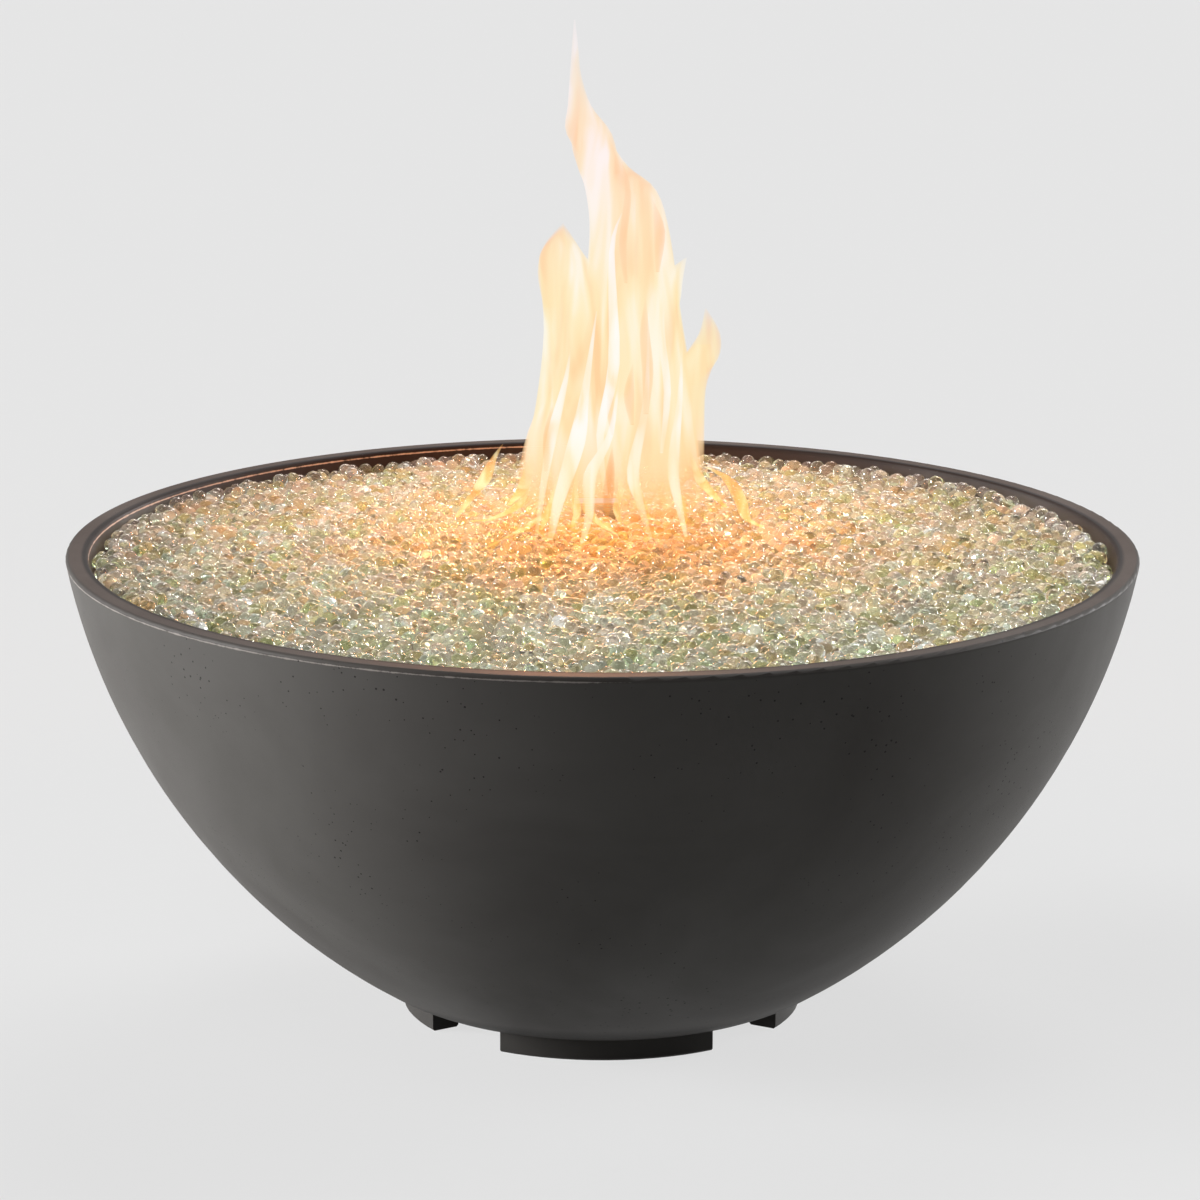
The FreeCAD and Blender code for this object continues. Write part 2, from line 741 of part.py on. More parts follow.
def hex_nut(flats, height, bore, placement):
    """A hexagon nut with a plain bore, standing on its own XY plane."""
    corner = value(flats) / math.sqrt(3)
    points = [Vector(corner * math.cos(math.radians(60 * k)), corner * math.sin(math.radians(60 * k)), 0)
              for k in range(7)]
    prism = Part.Face(Part.makePolygon(points)).extrude(Vector(0, 0, value(height)))
    cone = Part.makeCone(corner + value(height), corner - 0.06 * value(flats), value(height))
    nut = prism.common(cone).cut(Part.makeCylinder(value(bore), value(height)))
    nut.Placement = placement
    return nut


def burner_lock_nuts():
    """Two nuts on the nipple, above and below the pan's floor."""
    places = [place(z=PAN_TOP), place(z=PAN_FLOOR + " - lock_nut_height")]
    group("burner_lock_nuts", [hex_nut("lock_nut_flats", "lock_nut_height", "nipple_radius", spot)
                               for spot in places])


def air_mixer():
    """Mixing tube: socket for the nipple on top, air windows near the foot, orifice seat below."""
    body = new_body("air_mixer")
    socket_foot = MIXER_TOP + " - nipple_engagement"
    seat_top = MIXER_FOOT + " + nipple_engagement"
    turned(body, "mixer_wall", [
        ("flare_bore_radius", MIXER_FOOT),
        ("mixer_radius", MIXER_FOOT),
        ("mixer_radius", MIXER_TOP),
        ("nipple_radius", MIXER_TOP),
        ("nipple_radius", socket_foot),
        ("mixer_bore_radius", socket_foot),
        ("mixer_bore_radius", seat_top),
        ("flare_bore_radius", seat_top),
    ])
    air_windows(body)
    collar = "mixer_radius + shutter_wall"
    collar_root = "mixer_radius - shutter_wall/2"
    for name, foot in (("lower_collar", WINDOW_Z + " - shutter_overlap - slide_gap - 2*shutter_wall"),
                       ("upper_collar", WINDOW_Z + " + air_window_height + shutter_overlap + slide_gap")):
        turned(body, name, [
            (collar_root, foot),
            (collar, foot),
            (collar, foot + " + 2*shutter_wall"),
            (collar_root, foot + " + 2*shutter_wall"),
        ])


def air_windows(body):
    """The air windows, all at one level: cut through one wall and repeated about the axis."""
    window = primitive(body, "SubtractiveBox", "air_window",
                       {"Length": "2*mixer_radius", "Width": "air_window_width",
                        "Height": "air_window_height"},
                       ("mixer_bore_radius - 2", "-air_window_width/2", WINDOW_Z))
    around(body, "air_windows", window, "air_window_count")


def air_shutter():
    """Sleeve between the mixer's collars, with the same windows, which turns to close them."""
    body = new_body("air_shutter")
    foot = WINDOW_Z + " - shutter_overlap"
    head = WINDOW_Z + " + air_window_height + shutter_overlap"
    turned(body, "shutter_wall_ring", [
        ("mixer_radius + fit_gap", foot),
        ("mixer_radius + shutter_wall", foot),
        ("mixer_radius + shutter_wall", head),
        ("mixer_radius + fit_gap", head),
    ])
    air_windows(body)
    rod(body, "lock_screw_hole", "small_screw_radius", "2*shutter_wall",
        ("-mixer_radius - 1.5*shutter_wall", "0", SHUTTER_SCREW_Z), Rotation(Vector(0, 1, 0), 90), cut=True)


def shutter_screw():
    """Thumb screw that locks the shutter: its tip stops short of the mixer."""
    outward = Rotation(Vector(0, 1, 0), -90)
    spot = place("-mixer_radius - shutter_wall - thumb_head_standoff", "0", SHUTTER_SCREW_Z, outward)
    screw_group("shutter_screw", [("0", "0")], "small_screw_radius",
                "thumb_head_standoff + shutter_wall - slide_gap", "thumb_head_radius",
                "thumb_head_height", spot)


def orifice_spud():
    """Brass gas jet: hexagon head under the mixer and a threaded nose inside it."""
    body = new_body("orifice_spud")
    hexagon(body, "spud_head", "orifice_head_flats", "orifice_head_height",
            ("0", "0", MIXER_FOOT + " - orifice_head_height"))
    rod(body, "spud_nose", "flare_bore_radius", "1.5*nipple_engagement", ("0", "0", MIXER_FOOT))
    rod(body, "spud_bore", "orifice_bore_radius", "4*nipple_engagement",
        ("0", "0", MIXER_FOOT + " - 2*orifice_head_height"), cut=True)


ALONG_Y = Rotation(Vector(1, 0, 0), -90)


def elbow(name, corner_z, socket_end, socket_depth, socket_radius, upward):
    """Brass elbow: one arm up or down the axis to its fitting, one arm to +Y that ends in a flare."""
    body = new_body(name)
    arm = "abs(%s - %s)" % (socket_end, corner_z)
    arm_foot = corner_z if upward else socket_end
    rod(body, name + "_post", "elbow_radius", arm, ("0", "0", arm_foot))
    primitive(body, "AdditiveSphere", name + "_corner", {"Radius": "elbow_radius"}, ("0", "0", corner_z))
    rod(body, name + "_arm", "elbow_radius", "elbow_reach", ("0", "0", corner_z), ALONG_Y)
    rod(body, name + "_flare", "flare_radius", "flare_length", ("0", "elbow_reach", corner_z), ALONG_Y)
    rod(body, name + "_bore", "flare_bore_radius", "elbow_reach + flare_length",
        ("0", "0", corner_z), ALONG_Y, cut=True)
    rod(body, name + "_post_bore", "flare_bore_radius", arm, ("0", "0", arm_foot), cut=True)
    socket_foot = "%s - %s" % (socket_end, socket_depth) if upward else socket_end
    rod(body, name + "_socket", socket_radius, socket_depth, ("0", "0", socket_foot), cut=True)
    return body


def mixer_elbow():
    """Carries gas from the burner hose up into the orifice."""
    body = elbow("mixer_elbow", MIXER_ELBOW_Z, MIXER_FOOT + " - orifice_head_height", "slide_gap",
                 "flare_bore_radius", upward=True)
    return body


def inlet_elbow():
    """Turns the gas inlet towards the valve at the back."""
    return elbow("inlet_elbow", INLET_ELBOW_Z, INLET_HEX_TOP, "elbow_drop/2", "flare_radius", upward=False)


def inlet_plate():
    """Steel disc over the hole in the bowl's floor, with drain holes and the gas fitting's hole."""
    body = new_body("inlet_plate")
    turned(body, "inlet_disc", [
        ("inlet_barrel_radius + slide_gap", FLOOR_TOP),
        ("inlet_plate_radius", FLOOR_TOP),
        ("inlet_plate_radius", INLET_PLATE_TOP),
        ("inlet_barrel_radius + slide_gap", INLET_PLATE_TOP),
    ])
    under = FLOOR_TOP + " - inlet_plate_sheet"
    drain = rod(body, "inlet_drain", "inlet_drain_radius", "3*inlet_plate_sheet",
                ("inlet_drain_circle", "0", under), cut=True)
    around(body, "inlet_drains", drain, "inlet_drain_count")
    hole = rod(body, "base_screw_hole", "large_screw_radius + slide_gap", "3*inlet_plate_sheet",
               ("inlet_screw_circle", "0", under), cut=True)
    around(body, "base_screw_holes", hole, "inlet_screw_count")


def inserts(name, places, placement):
    """Threaded brass inserts in the casting, one solid each, with their mouths on the local XY plane."""
    shapes = []
    for x, y in places:
        foot = Vector(value(x), value(y), -value("insert_length"))
        barrel = Part.makeCylinder(value("insert_radius"), value("insert_length"), foot)
        bore = Part.makeCylinder(value("large_screw_radius"), value("insert_length"), foot)
        shapes.append(barrel.cut(bore))
    group(name, shapes, placement)


def inlet_fitting():
    """Bulkhead fitting: flare tail for the supply line, barrel through the plate, hexagon, stub above."""
    body = new_body("inlet_fitting")
    barrel_foot = FLOOR_TOP + " - lock_nut_height"
    tail_top = "(%s - inlet_relief_length)" % barrel_foot
    tail_tip = "(%s - inlet_tail_length)" % tail_top
    turned(body, "inlet_wall", [
        ("flare_bore_radius", tail_tip),
        ("flare_radius", tail_tip),
        ("flare_radius", tail_top),
        ("flare_radius - inlet_relief_depth", tail_top),
        ("flare_radius - inlet_relief_depth", barrel_foot),
        ("inlet_barrel_radius", barrel_foot),
        ("inlet_barrel_radius", INLET_PLATE_TOP),
        ("flare_radius", INLET_PLATE_TOP),
        ("flare_radius", INLET_HEX_TOP + " + elbow_drop/2"),
        ("flare_bore_radius", INLET_HEX_TOP + " + elbow_drop/2"),
    ])
    hexagon(body, "inlet_hex", "hose_nut_flats", "inlet_hex_height", ("0", "0", INLET_PLATE_TOP))
    rod(body, "inlet_bore", "flare_bore_radius", "inlet_hex_height", ("0", "0", INLET_PLATE_TOP), cut=True)


def inlet_lock_nut():
    """Clamps the inlet fitting to its plate from below."""
    spot = place(z=FLOOR_TOP + " - lock_nut_height")
    group("inlet_lock_nut", [hex_nut("hose_nut_flats", "lock_nut_height", "inlet_barrel_radius", spot)])


def control_plate():
    """Stainless plate in the recess at the back, with holes for valve, igniter and screws."""
    body = new_body("control_plate", PANEL)
    rounded_plate(body, "plate", "panel_width", "panel_depth", "panel_corner_radius", "panel_sheet")
    below = "-panel_sheet"
    deep = "3*panel_sheet"
    bores(body, "corner_hole", panel_screw_places(), "large_screw_radius + slide_gap", deep, below)
    bores(body, "valve_screw_hole", valve_screw_places(), "small_screw_radius + slide_gap", deep, below)
    rod(body, "bonnet_hole", "bonnet_radius + slide_gap", deep, ("valve_offset", "0", below), cut=True)
    rod(body, "igniter_hole", "barrel_radius + slide_gap", deep, ("igniter_offset", "0", below), cut=True)


def valve_screw_places():
    return [("valve_offset", "%d*valve_screw_spacing/2" % side) for side in (-1, 1)]


def valve_body():
    """Gas valve: block behind the plate, bonnet through it, one port down and one to the rear."""
    body = new_body("valve_body", on_panel("valve_offset"))
    block(body, "valve_block", ("valve_width", "valve_tall", "valve_length"), ("0", "0", "-valve_length"))
    rod(body, "bonnet", "bonnet_radius", "bonnet_height", ("0", "0", "0"))
    port_down = Rotation(Vector(1, 0, 0), 90)
    rod(body, "inlet_port", "port_radius", "port_length",
        ("0", "-valve_tall/2", "-port_setback"), port_down)
    rod(body, "inlet_flare", "flare_radius", "flare_length",
        ("0", "-valve_tall/2 - port_length", "-port_setback"), port_down)
    rod(body, "outlet_port", "port_radius", "port_length", ("0", "0", "-valve_length - port_length"))
    rod(body, "outlet_flare", "flare_radius", "flare_length",
        ("0", "0", "-valve_length - port_length - flare_length"))
    rod(body, "sensor_port", "1.6*thermocouple_radius", "port_length",
        ("0", "valve_tall/2", "-port_setback"), Rotation(Vector(1, 0, 0), -90))
    rod(body, "stem_bore", "stem_radius + fit_gap", "bonnet_height + stem_depth + 2*knob_press",
        ("0", "0", "-stem_depth - 2*knob_press"), cut=True)
    rod(body, "inlet_bore", "flare_bore_radius", "port_length + flare_length",
        ("0", "-valve_tall/2", "-port_setback"), port_down, cut=True)
    rod(body, "outlet_bore", "flare_bore_radius", "port_length + flare_length",
        ("0", "0", "-valve_length - port_length - flare_length"), cut=True)
    for index, side in enumerate((-1, 1), start=1):
        rod(body, "valve_thread_%d" % index, "small_screw_radius", "valve_screw_length",
            ("0", "%d*valve_screw_spacing/2" % side, "-valve_screw_length + panel_sheet"), cut=True)
    return body


BONNET_TOP = "bonnet_height"
WASHER_FOOT = "(bonnet_height + knob_spring_length + slide_gap)"
HUB_LEVEL = "(%s + washer_sheet + slide_gap)" % WASHER_FOOT
KNOB_FOOT = "(panel_sheet + bezel_height + knob_press + 1)"
KNOB_TOP = "(%s + knob_height)" % KNOB_FOOT
STEM_TOP = "(%s - knob_wall - 1)" % KNOB_TOP


def valve_stem():
    """The stem that the knob turns and pushes, with its flat."""
    body = new_body("valve_stem", on_panel("valve_offset"))
    rod(body, "stem", "stem_radius", "stem_depth + " + STEM_TOP, ("0", "0", "-stem_depth"))
    block(body, "stem_flat", ("4*stem_radius", "stem_radius", "knob_height"),
          ("0", "stem_radius*1.1", HUB_LEVEL + " + 1"), cut=True)


def thrust_washer():
    """Washer between the knob's hub and its spring: it slides with the knob and doesn't turn."""
    body = new_body("thrust_washer", on_panel("valve_offset"))
    turned(body, "washer", [
        ("stem_radius + fit_gap", WASHER_FOOT),
        ("washer_radius", WASHER_FOOT),
        ("washer_radius", WASHER_FOOT + " + washer_sheet"),
        ("stem_radius + fit_gap", WASHER_FOOT + " + washer_sheet"),
    ])


def spring_sleeve(name, radius, wall, foot, length, placement):
    """A compression spring's envelope."""
    body = new_body(name, placement)
    turned(body, name + "_envelope", [
        ("%s - %s" % (radius, wall), foot),
        (radius, foot),
        (radius, "%s + %s" % (foot, length)),
        ("%s - %s" % (radius, wall), "%s + %s" % (foot, length)),
    ])


def knob_bezel():
    """Dial ring round the knob, flat on the plate, with a bevelled edge."""
    body = new_body("knob_bezel", on_panel("valve_offset"))
    turned(body, "bezel", [
        ("bezel_bore_radius", "panel_sheet"),
        ("bezel_radius", "panel_sheet"),
        ("bezel_radius - bezel_height/2", "panel_sheet + bezel_height"),
        ("bezel_bore_radius", "panel_sheet + bezel_height"),
    ])


def control_knob():
    """Hollow knob with a skirt, a grip bar and a hub that takes the stem."""
    body = new_body("control_knob", on_panel("valve_offset"))
    cavity_top = "(%s - knob_wall)" % KNOB_TOP
    skirt_top = "(%s + knob_skirt_height)" % KNOB_FOOT
    turned(body, "knob_shell", [
        ("0", HUB_LEVEL),
        ("knob_hub_radius", HUB_LEVEL),
        ("knob_hub_radius", cavity_top),
        ("knob_grip_radius - knob_wall", cavity_top),
        ("knob_grip_radius - knob_wall", KNOB_FOOT),
        ("knob_radius", KNOB_FOOT),
        ("knob_radius", skirt_top + " - knob_edge_step"),
        ("knob_grip_radius + knob_edge_step", skirt_top),
        ("knob_grip_radius", skirt_top + " + knob_edge_step"),
        ("knob_grip_radius - moulded_rounding", KNOB_TOP),
        ("0", KNOB_TOP),
    ])
    bar_rise = "knob_height - knob_skirt_height + knob_bar_rise"
    bar_length = "2*(knob_radius - moulded_rounding)"
    block(body, "grip_bar", (bar_length, "knob_bar_width", bar_rise), ("0", "0", skirt_top))
    block(body, "pointer_groove", ("knob_radius/2", "knob_wall/2", "knob_wall"),
          ("-knob_radius*0.6", "0", KNOB_TOP + " + knob_bar_rise - knob_wall/3"), cut=True)
    rod(body, "hub_bore", "stem_radius", STEM_TOP + " - " + HUB_LEVEL, ("0", "0", HUB_LEVEL), cut=True)
    return body


IGNITER_TOP = "(panel_sheet + igniter_flange_height)"
NECK_TOP = "(%s + igniter_neck_height)" % IGNITER_TOP
GASKET_FOOT = "(%s + slide_gap)" % IGNITER_TOP
CAP_FOOT = "(%s + gasket_height + slide_gap)" % GASKET_FOOT
CAP_TOP = "(%s + cap_length)" % CAP_FOOT
BUTTON_FLANGE_TOP = "(%s - cap_lip - slide_gap)" % CAP_TOP
BATTERY_TOP = "(panel_sheet + 1)"


def igniter_body():
    """Spark module: neck and flange in front of the plate, barrel with the battery's bore behind."""
    body = new_body("igniter_body", on_panel("igniter_offset"))
    turned(body, "module", [
        ("0", "-barrel_length"),
        ("barrel_radius", "-barrel_length"),
        ("barrel_radius", "panel_sheet"),
        ("igniter_flange_radius", "panel_sheet"),
        ("igniter_flange_radius", IGNITER_TOP),
        ("igniter_neck_radius", IGNITER_TOP),
        ("igniter_neck_radius", NECK_TOP),
        ("igniter_neck_bore_radius", NECK_TOP),
        ("igniter_neck_bore_radius", BATTERY_TOP),
        ("battery_radius + loose_gap/2", BATTERY_TOP),
        ("battery_radius + loose_gap/2", BATTERY_TOP + " - battery_length"),
        ("0", BATTERY_TOP + " - battery_length"),
    ])
    rod(body, "terminal", "terminal_radius", "terminal_length",
        ("0", "0", "-barrel_length - terminal_length"))


def igniter_nut():
    """Holds the igniter to the plate from behind."""
    spot = on_panel("igniter_offset", "0", "-igniter_nut_height")
    group("igniter_nut", [hex_nut("igniter_nut_flats", "igniter_nut_height", "barrel_radius", spot)])


def igniter_battery():
    """One small round cell."""
    body = new_body("igniter_battery", on_panel("igniter_offset"))
    foot = BATTERY_TOP + " - battery_length"
    rod(body, "cell", "battery_radius", "battery_length - battery_nub_height", ("0", "0", foot))
    rod(body, "cell_nub", "battery_nub_radius", "battery_length", ("0", "0", foot))


def cap_gasket():
    """Rubber ring under the cap: it travels with the cap and doesn't turn."""
    body = new_body("cap_gasket", on_panel("igniter_offset"))
    turned(body, "gasket", [
        ("igniter_neck_radius + 3*fit_gap", GASKET_FOOT),
        ("cap_radius - loose_gap", GASKET_FOOT),
        ("cap_radius - loose_gap", GASKET_FOOT + " + gasket_height"),
        ("igniter_neck_radius + 3*fit_gap", GASKET_FOOT + " + gasket_height"),
    ])


def igniter_cap():
    """Screw cap over the neck, with a grooved grip and the button's hole."""
    body = new_body("igniter_cap", on_panel("igniter_offset"))
    turned(body, "cap", [
        ("igniter_neck_radius + fit_gap", CAP_FOOT),
        ("cap_radius", CAP_FOOT),
        ("cap_radius", CAP_TOP + " - moulded_rounding"),
        ("cap_radius - moulded_rounding", CAP_TOP, "moulded_rounding"),
        ("button_radius + 3*slide_gap", CAP_TOP),
        ("button_radius + 3*slide_gap", CAP_TOP + " - cap_lip"),
        ("igniter_neck_radius + fit_gap", CAP_TOP + " - cap_lip"),
    ])
    groove = rod(body, "grip_groove", "cap_grip_radius", "cap_length - 2*moulded_rounding",
                 ("cap_radius + cap_grip_radius/2", "0", CAP_FOOT), cut=True)
    around(body, "grip_grooves", groove, "cap_grip_count")


def igniter_button():
    """Push button, trapped under the cap's lip by its flange."""
    body = new_body("igniter_button", on_panel("igniter_offset"))
    flange_foot = BUTTON_FLANGE_TOP + " - button_flange_height"
    turned(body, "button", [
        ("0", flange_foot),
        ("button_flange_radius", flange_foot),
        ("button_flange_radius", BUTTON_FLANGE_TOP),
        ("button_radius", BUTTON_FLANGE_TOP),
        ("button_radius", CAP_TOP + " + button_rise - moulded_rounding"),
        ("button_radius - moulded_rounding", CAP_TOP + " + button_rise", "moulded_rounding"),
        ("0", CAP_TOP + " + button_rise"),
    ])


def pilot_bracket():
    """Stainless hood on the pan's floor: foot, back, two cheeks and a roof, open towards the burner."""
    body = new_body("pilot_bracket")
    back_y = "pilot_distance + hood_depth/2 - pan_sheet/2"
    cheek_x = "(hood_width - pan_sheet)/2"
    block(body, "hood_foot", ("hood_width", "hood_depth", "pan_sheet"), ("0", "pilot_distance", PAN_TOP))
    block(body, "hood_back", ("hood_width", "pan_sheet", HOOD_TOP + " - " + PAN_TOP), ("0", back_y, PAN_TOP))
    block(body, "hood_roof", ("hood_width", "hood_depth", "pan_sheet"),
          ("0", "pilot_distance", HOOD_TOP + " - pan_sheet"))
    for name, side in (("left_cheek", "-"), ("right_cheek", "")):
        block(body, name, ("pan_sheet", "hood_depth", "hood_cheek_height"),
              (side + cheek_x, "pilot_distance", HOOD_TOP + " - hood_cheek_height"))
    pilot_holes(body, PAN_TOP)


def electrode():
    """Ceramic sleeve and its wire, bent level towards the burner."""
    body = new_body("electrode_insulator", place("-probe_offset", "pilot_distance"))
    foot = PAN_FLOOR + " - probe_tail"
    rod(body, "sleeve", "insulator_radius", "insulator_length", ("0", "0", foot))
    rod(body, "sleeve_bore", "electrode_wire_radius", "insulator_length", ("0", "0", foot), cut=True)
    wire = new_body("electrode_pin", place("-probe_offset", "pilot_distance"))
    top = foot + " + insulator_length + electrode_wire_length/3"
    rod(wire, "wire", "electrode_wire_radius", "insulator_length + electrode_wire_length/3",
        ("0", "0", foot))
    primitive(wire, "AdditiveSphere", "wire_bend", {"Radius": "electrode_wire_radius"}, ("0", "0", top))
    rod(wire, "spark_tip", "electrode_wire_radius", "electrode_wire_length", ("0", "0", top),
        Rotation(Vector(1, 0, 0), 90))


def thermocouple():
    """Flame sensor: a stepped probe up through the pan and the bracket."""
    body = new_body("thermocouple", place("probe_offset", "pilot_distance"))
    foot = PAN_FLOOR + " - probe_tail"
    rod(body, "probe", "thermocouple_radius", "thermocouple_length - thermocouple_tip_length",
        ("0", "0", foot))
    rod(body, "probe_tip", "thermocouple_radius - thermocouple_tip_step", "thermocouple_length",
        ("0", "0", foot))


def gem_heaps():
    """Low domes in rings on the bed, six more in each ring than in the one inside it."""
    height = value("glass_heap_height")
    root = value("glass_heap_root")
    rise = height + root
    ball = (value("glass_heap_radius") ** 2 + rise ** 2) / (2 * rise)
    base_angle = math.degrees(math.asin((ball - rise) / ball))
    level = value(GLASS_EDGE)
    slope = value("glass_crown / glass_edge_radius")
    heaps = []
    for ring in range(int(value("glass_ring_count")) + 1):
        radius = ring * value("glass_ring_step")
        surface = level + slope * (value("glass_edge_radius") - radius)
        around_ring = max(1, 6 * ring)
        for index in range(around_ring):
            angle = 2 * math.pi * (index + 0.5 * (ring % 2)) / around_ring
            centre = Vector(radius * math.cos(angle), radius * math.sin(angle), surface + height - ball)
            heaps.append(Part.makeSphere(ball, centre, Vector(0, 0, 1), base_angle, 90, 360))
    return heaps


def glass_media():
    """The bed of glass gems as one solid: it fills the tray and the pan, round what stands in them."""
    lift = "loose_gap/2"
    lip_top = TRAY_TOP + " + tray_outer_lip + " + lift
    wall_arc = "(inner_arc_radius - loose_gap)"
    fill = revolved("glass_fill", [
        ("0", PAN_TOP + " + " + lift),
        ("pan_radius - pan_sheet - loose_gap", PAN_TOP + " + " + lift),
        ("pan_radius - pan_sheet - loose_gap", TRAY_TOP + " + pan_sheet + " + lift),
        ("pan_flange_radius + loose_gap", TRAY_TOP + " + pan_sheet + " + lift),
        ("pan_flange_radius + loose_gap", TRAY_TOP + " + " + lift),
        ("tray_radius - tray_sheet - loose_gap", TRAY_TOP + " + " + lift),
        ("tray_radius - tray_sheet - loose_gap", lip_top),
        (wall_radius(wall_arc, lip_top), lip_top),
        (wall_radius(wall_arc, GLASS_EDGE), GLASS_EDGE, wall_arc),
        ("0", GLASS_EDGE + " + glass_crown"),
    ])
    doc.recompute()
    gap = value("loose_gap")
    tube = value("burner_tube_radius") + gap
    circle = value("burner_circle_radius")
    level = value(BURNER_Z)
    hood_size = Vector(value("hood_width") + 2 * gap, value("hood_depth") + 2 * gap, value("bowl_height"))
    hood_corner = Vector(-hood_size.x / 2, value("pilot_distance") - hood_size.y / 2, 0)
    hub_foot = value(HUB_FOOT) - gap
    holes = [
        Part.makeTorus(circle, tube, Vector(0, 0, level)),
        Part.makeCylinder(tube, 2 * circle, Vector(-circle, 0, level), Vector(1, 0, 0)),
        Part.makeCylinder(value("hub_radius") + gap, value("hub_height") + 2 * gap, Vector(0, 0, hub_foot)),
        Part.makeCylinder(value("nipple_radius") + gap, level),
        Part.makeCylinder(value("lock_nut_flats/sqrt(3)") + gap, value(PAN_TOP + " + lock_nut_height") + gap),
        Part.makeBox(hood_size.x, hood_size.y, hood_size.z, hood_corner),
    ]
    head = value("small_head_height") + gap
    flange_top = value(TRAY_TOP + " + pan_sheet")
    for x, y in ring_places("pan_screw_circle", "pan_screw_count", "180/tray_rib_count"):
        spot = Vector(value(x), value(y), flange_top)
        holes.append(Part.makeCylinder(value("small_head_radius") + gap, head, spot))
    group("glass_media", [fill.Shape.Solids[0].fuse(gem_heaps()).cut(holes)])


def route_tube(name, points, radius, bore=None):
    """A hose or lead along straight runs joined by arcs as large as the runs allow."""
    edges = []
    last = points[0]
    radii = []
    for index in range(1, len(points) - 1):
        before = points[index - 1] - points[index]
        after = points[index + 1] - points[index]
        half_turn = (math.pi - before.getAngle(after)) / 2
        reach = 0.45 * min(before.Length, after.Length)
        radii.append(reach / math.tan(half_turn))
        start = points[index] + before.normalize() * reach
        end = points[index] + after.normalize() * reach
        to_middle = (before + after).normalize()
        depth = radii[-1] * (1 / math.cos(half_turn) - 1)
        edges.append(Part.makeLine(last, start))
        edges.append(Part.Arc(start, points[index] + to_middle * depth, end).toShape())
        last = end
    edges.append(Part.makeLine(last, points[-1]))
    path = Part.Wire(edges)
    heading = points[1] - points[0]

    def swept(size):
        ring = Part.Wire(Part.makeCircle(size, points[0], heading))
        return path.makePipeShell([ring], True, False)

    tube = swept(radius)
    area = math.pi * radius ** 2
    if bore:
        tube = tube.cut(swept(bore))
        area -= math.pi * bore ** 2
    share = tube.Volume / (area * path.Length)
    print("%s: length %.0f, least radius %.0f, volume share %.4f" % (name, path.Length, min(radii), share))
    return group(name, [tube])


def panel_point(x="0", y="0", z="0"):
    return on_panel(x, y, z).Base


def hoses():
    """Both gas hoses and their four flare nuts. The points between a hose's ends are chosen by hand."""
    inset = value("flare_length")
    outlet_shoulder = panel_point("valve_offset", "0", "-valve_length - port_length")
    inlet_shoulder = panel_point("valve_offset", "-valve_tall/2 - port_length", "-port_setback")
    mixer_shoulder = place("0", "elbow_reach", MIXER_ELBOW_Z).Base
    supply_shoulder = place("0", "elbow_reach", INLET_ELBOW_Z).Base
    inward = PANEL_OUT * -1
    down = PANEL_UP * -1
    back = Vector(0, 1, 0)
    start = outlet_shoulder + inward * inset
    end = mixer_shoulder + back * inset
    middle = (start + end) / 2
    route_tube("burner_hose", [
        start,
        start + inward * 34,
        start + Vector(-4, -82, 30),
        middle + Vector(7, 35, 56),
        middle + Vector(0, -19, 19),
        end + Vector(9, 104, 26),
        end + Vector(3, 62, 5),
        end + back * 26,
        end,
    ], value("hose_radius"), value("hose_bore_radius"))
    start = inlet_shoulder + down * inset
    end = supply_shoulder + back * inset
    middle = (start + end) / 2
    route_tube("inlet_hose", [
        start,
        start + down * 30,
        start + Vector(-1, -65, -81),
        middle + Vector(11, 68, -27),
        middle + Vector(5, 8, -68),
        end + Vector(12, 124, 17),
        end + Vector(4, 70, 3),
        end + back * 26,
        end,
    ], value("hose_radius"), value("hose_bore_radius"))
    nuts = []
    for shoulder, heading in ((outlet_shoulder, inward), (inlet_shoulder, down),
                              (mixer_shoulder, back), (supply_shoulder, back)):
        spot = Placement(shoulder, Rotation(Vector(0, 0, 1), heading))
        nut = hex_nut("hose_nut_flats", "hose_nut_length", "hose_radius", spot)
        mouth = Part.makeCylinder(value("flare_radius"), inset, shoulder, heading)
        nuts.append(nut.cut(mouth))
    group("hose_nuts", nuts)


def leads():
    """The spark lead and the sensor's capillary, from the controls to the foot of the pilot.

    The points between their ends are chosen by hand.
    """
    inward = PANEL_OUT * -1
    tail = PAN_FLOOR + " - probe_tail"
    start = panel_point("igniter_offset", "0", "-barrel_length - terminal_length")
    end = place("-probe_offset", "pilot_distance", tail).Base
    middle = (start + end) / 2
    route_tube("ignition_lead", [
        start,
        start + inward * 22,
        start + Vector(3, -61, 26),
        middle + Vector(-4, -4, 3),
        end + Vector(-10, 54, -29),
        end + Vector(-3, 16, -31),
        end + Vector(0, 0, -18),
        end,
    ], value("lead_radius"))
    start = panel_point("valve_offset", "valve_tall/2 + port_length", "-port_setback")
    end = place("probe_offset", "pilot_distance", tail).Base
    middle = (start + end) / 2
    route_tube("thermocouple_lead", [
        start,
        start + PANEL_UP * 14,
        start + Vector(1, -3, 31),
        start + Vector(0, -31, 40),
        start + Vector(-2, -75, 38),
        middle + Vector(5, -6, 10),
        end + Vector(11, 64, -18),
        end + Vector(4, 18, -24),
        end + Vector(0, 0, -15),
        end,
    ], value("capillary_radius"))


def washers_and_springs():
    """The two springs, behind the knob and under the button."""
    spring_sleeve("knob_spring", "knob_spring_radius", "knob_spring_wall", BONNET_TOP,
                  "knob_spring_length", on_panel("valve_offset"))
    spring_length = "(%s - button_flange_height - %s - slide_gap)" % (BUTTON_FLANGE_TOP, BATTERY_TOP)
    spring_sleeve("button_spring", "battery_radius + loose_gap", "button_spring_wall", BATTERY_TOP,
                  spring_length, on_panel("igniter_offset"))


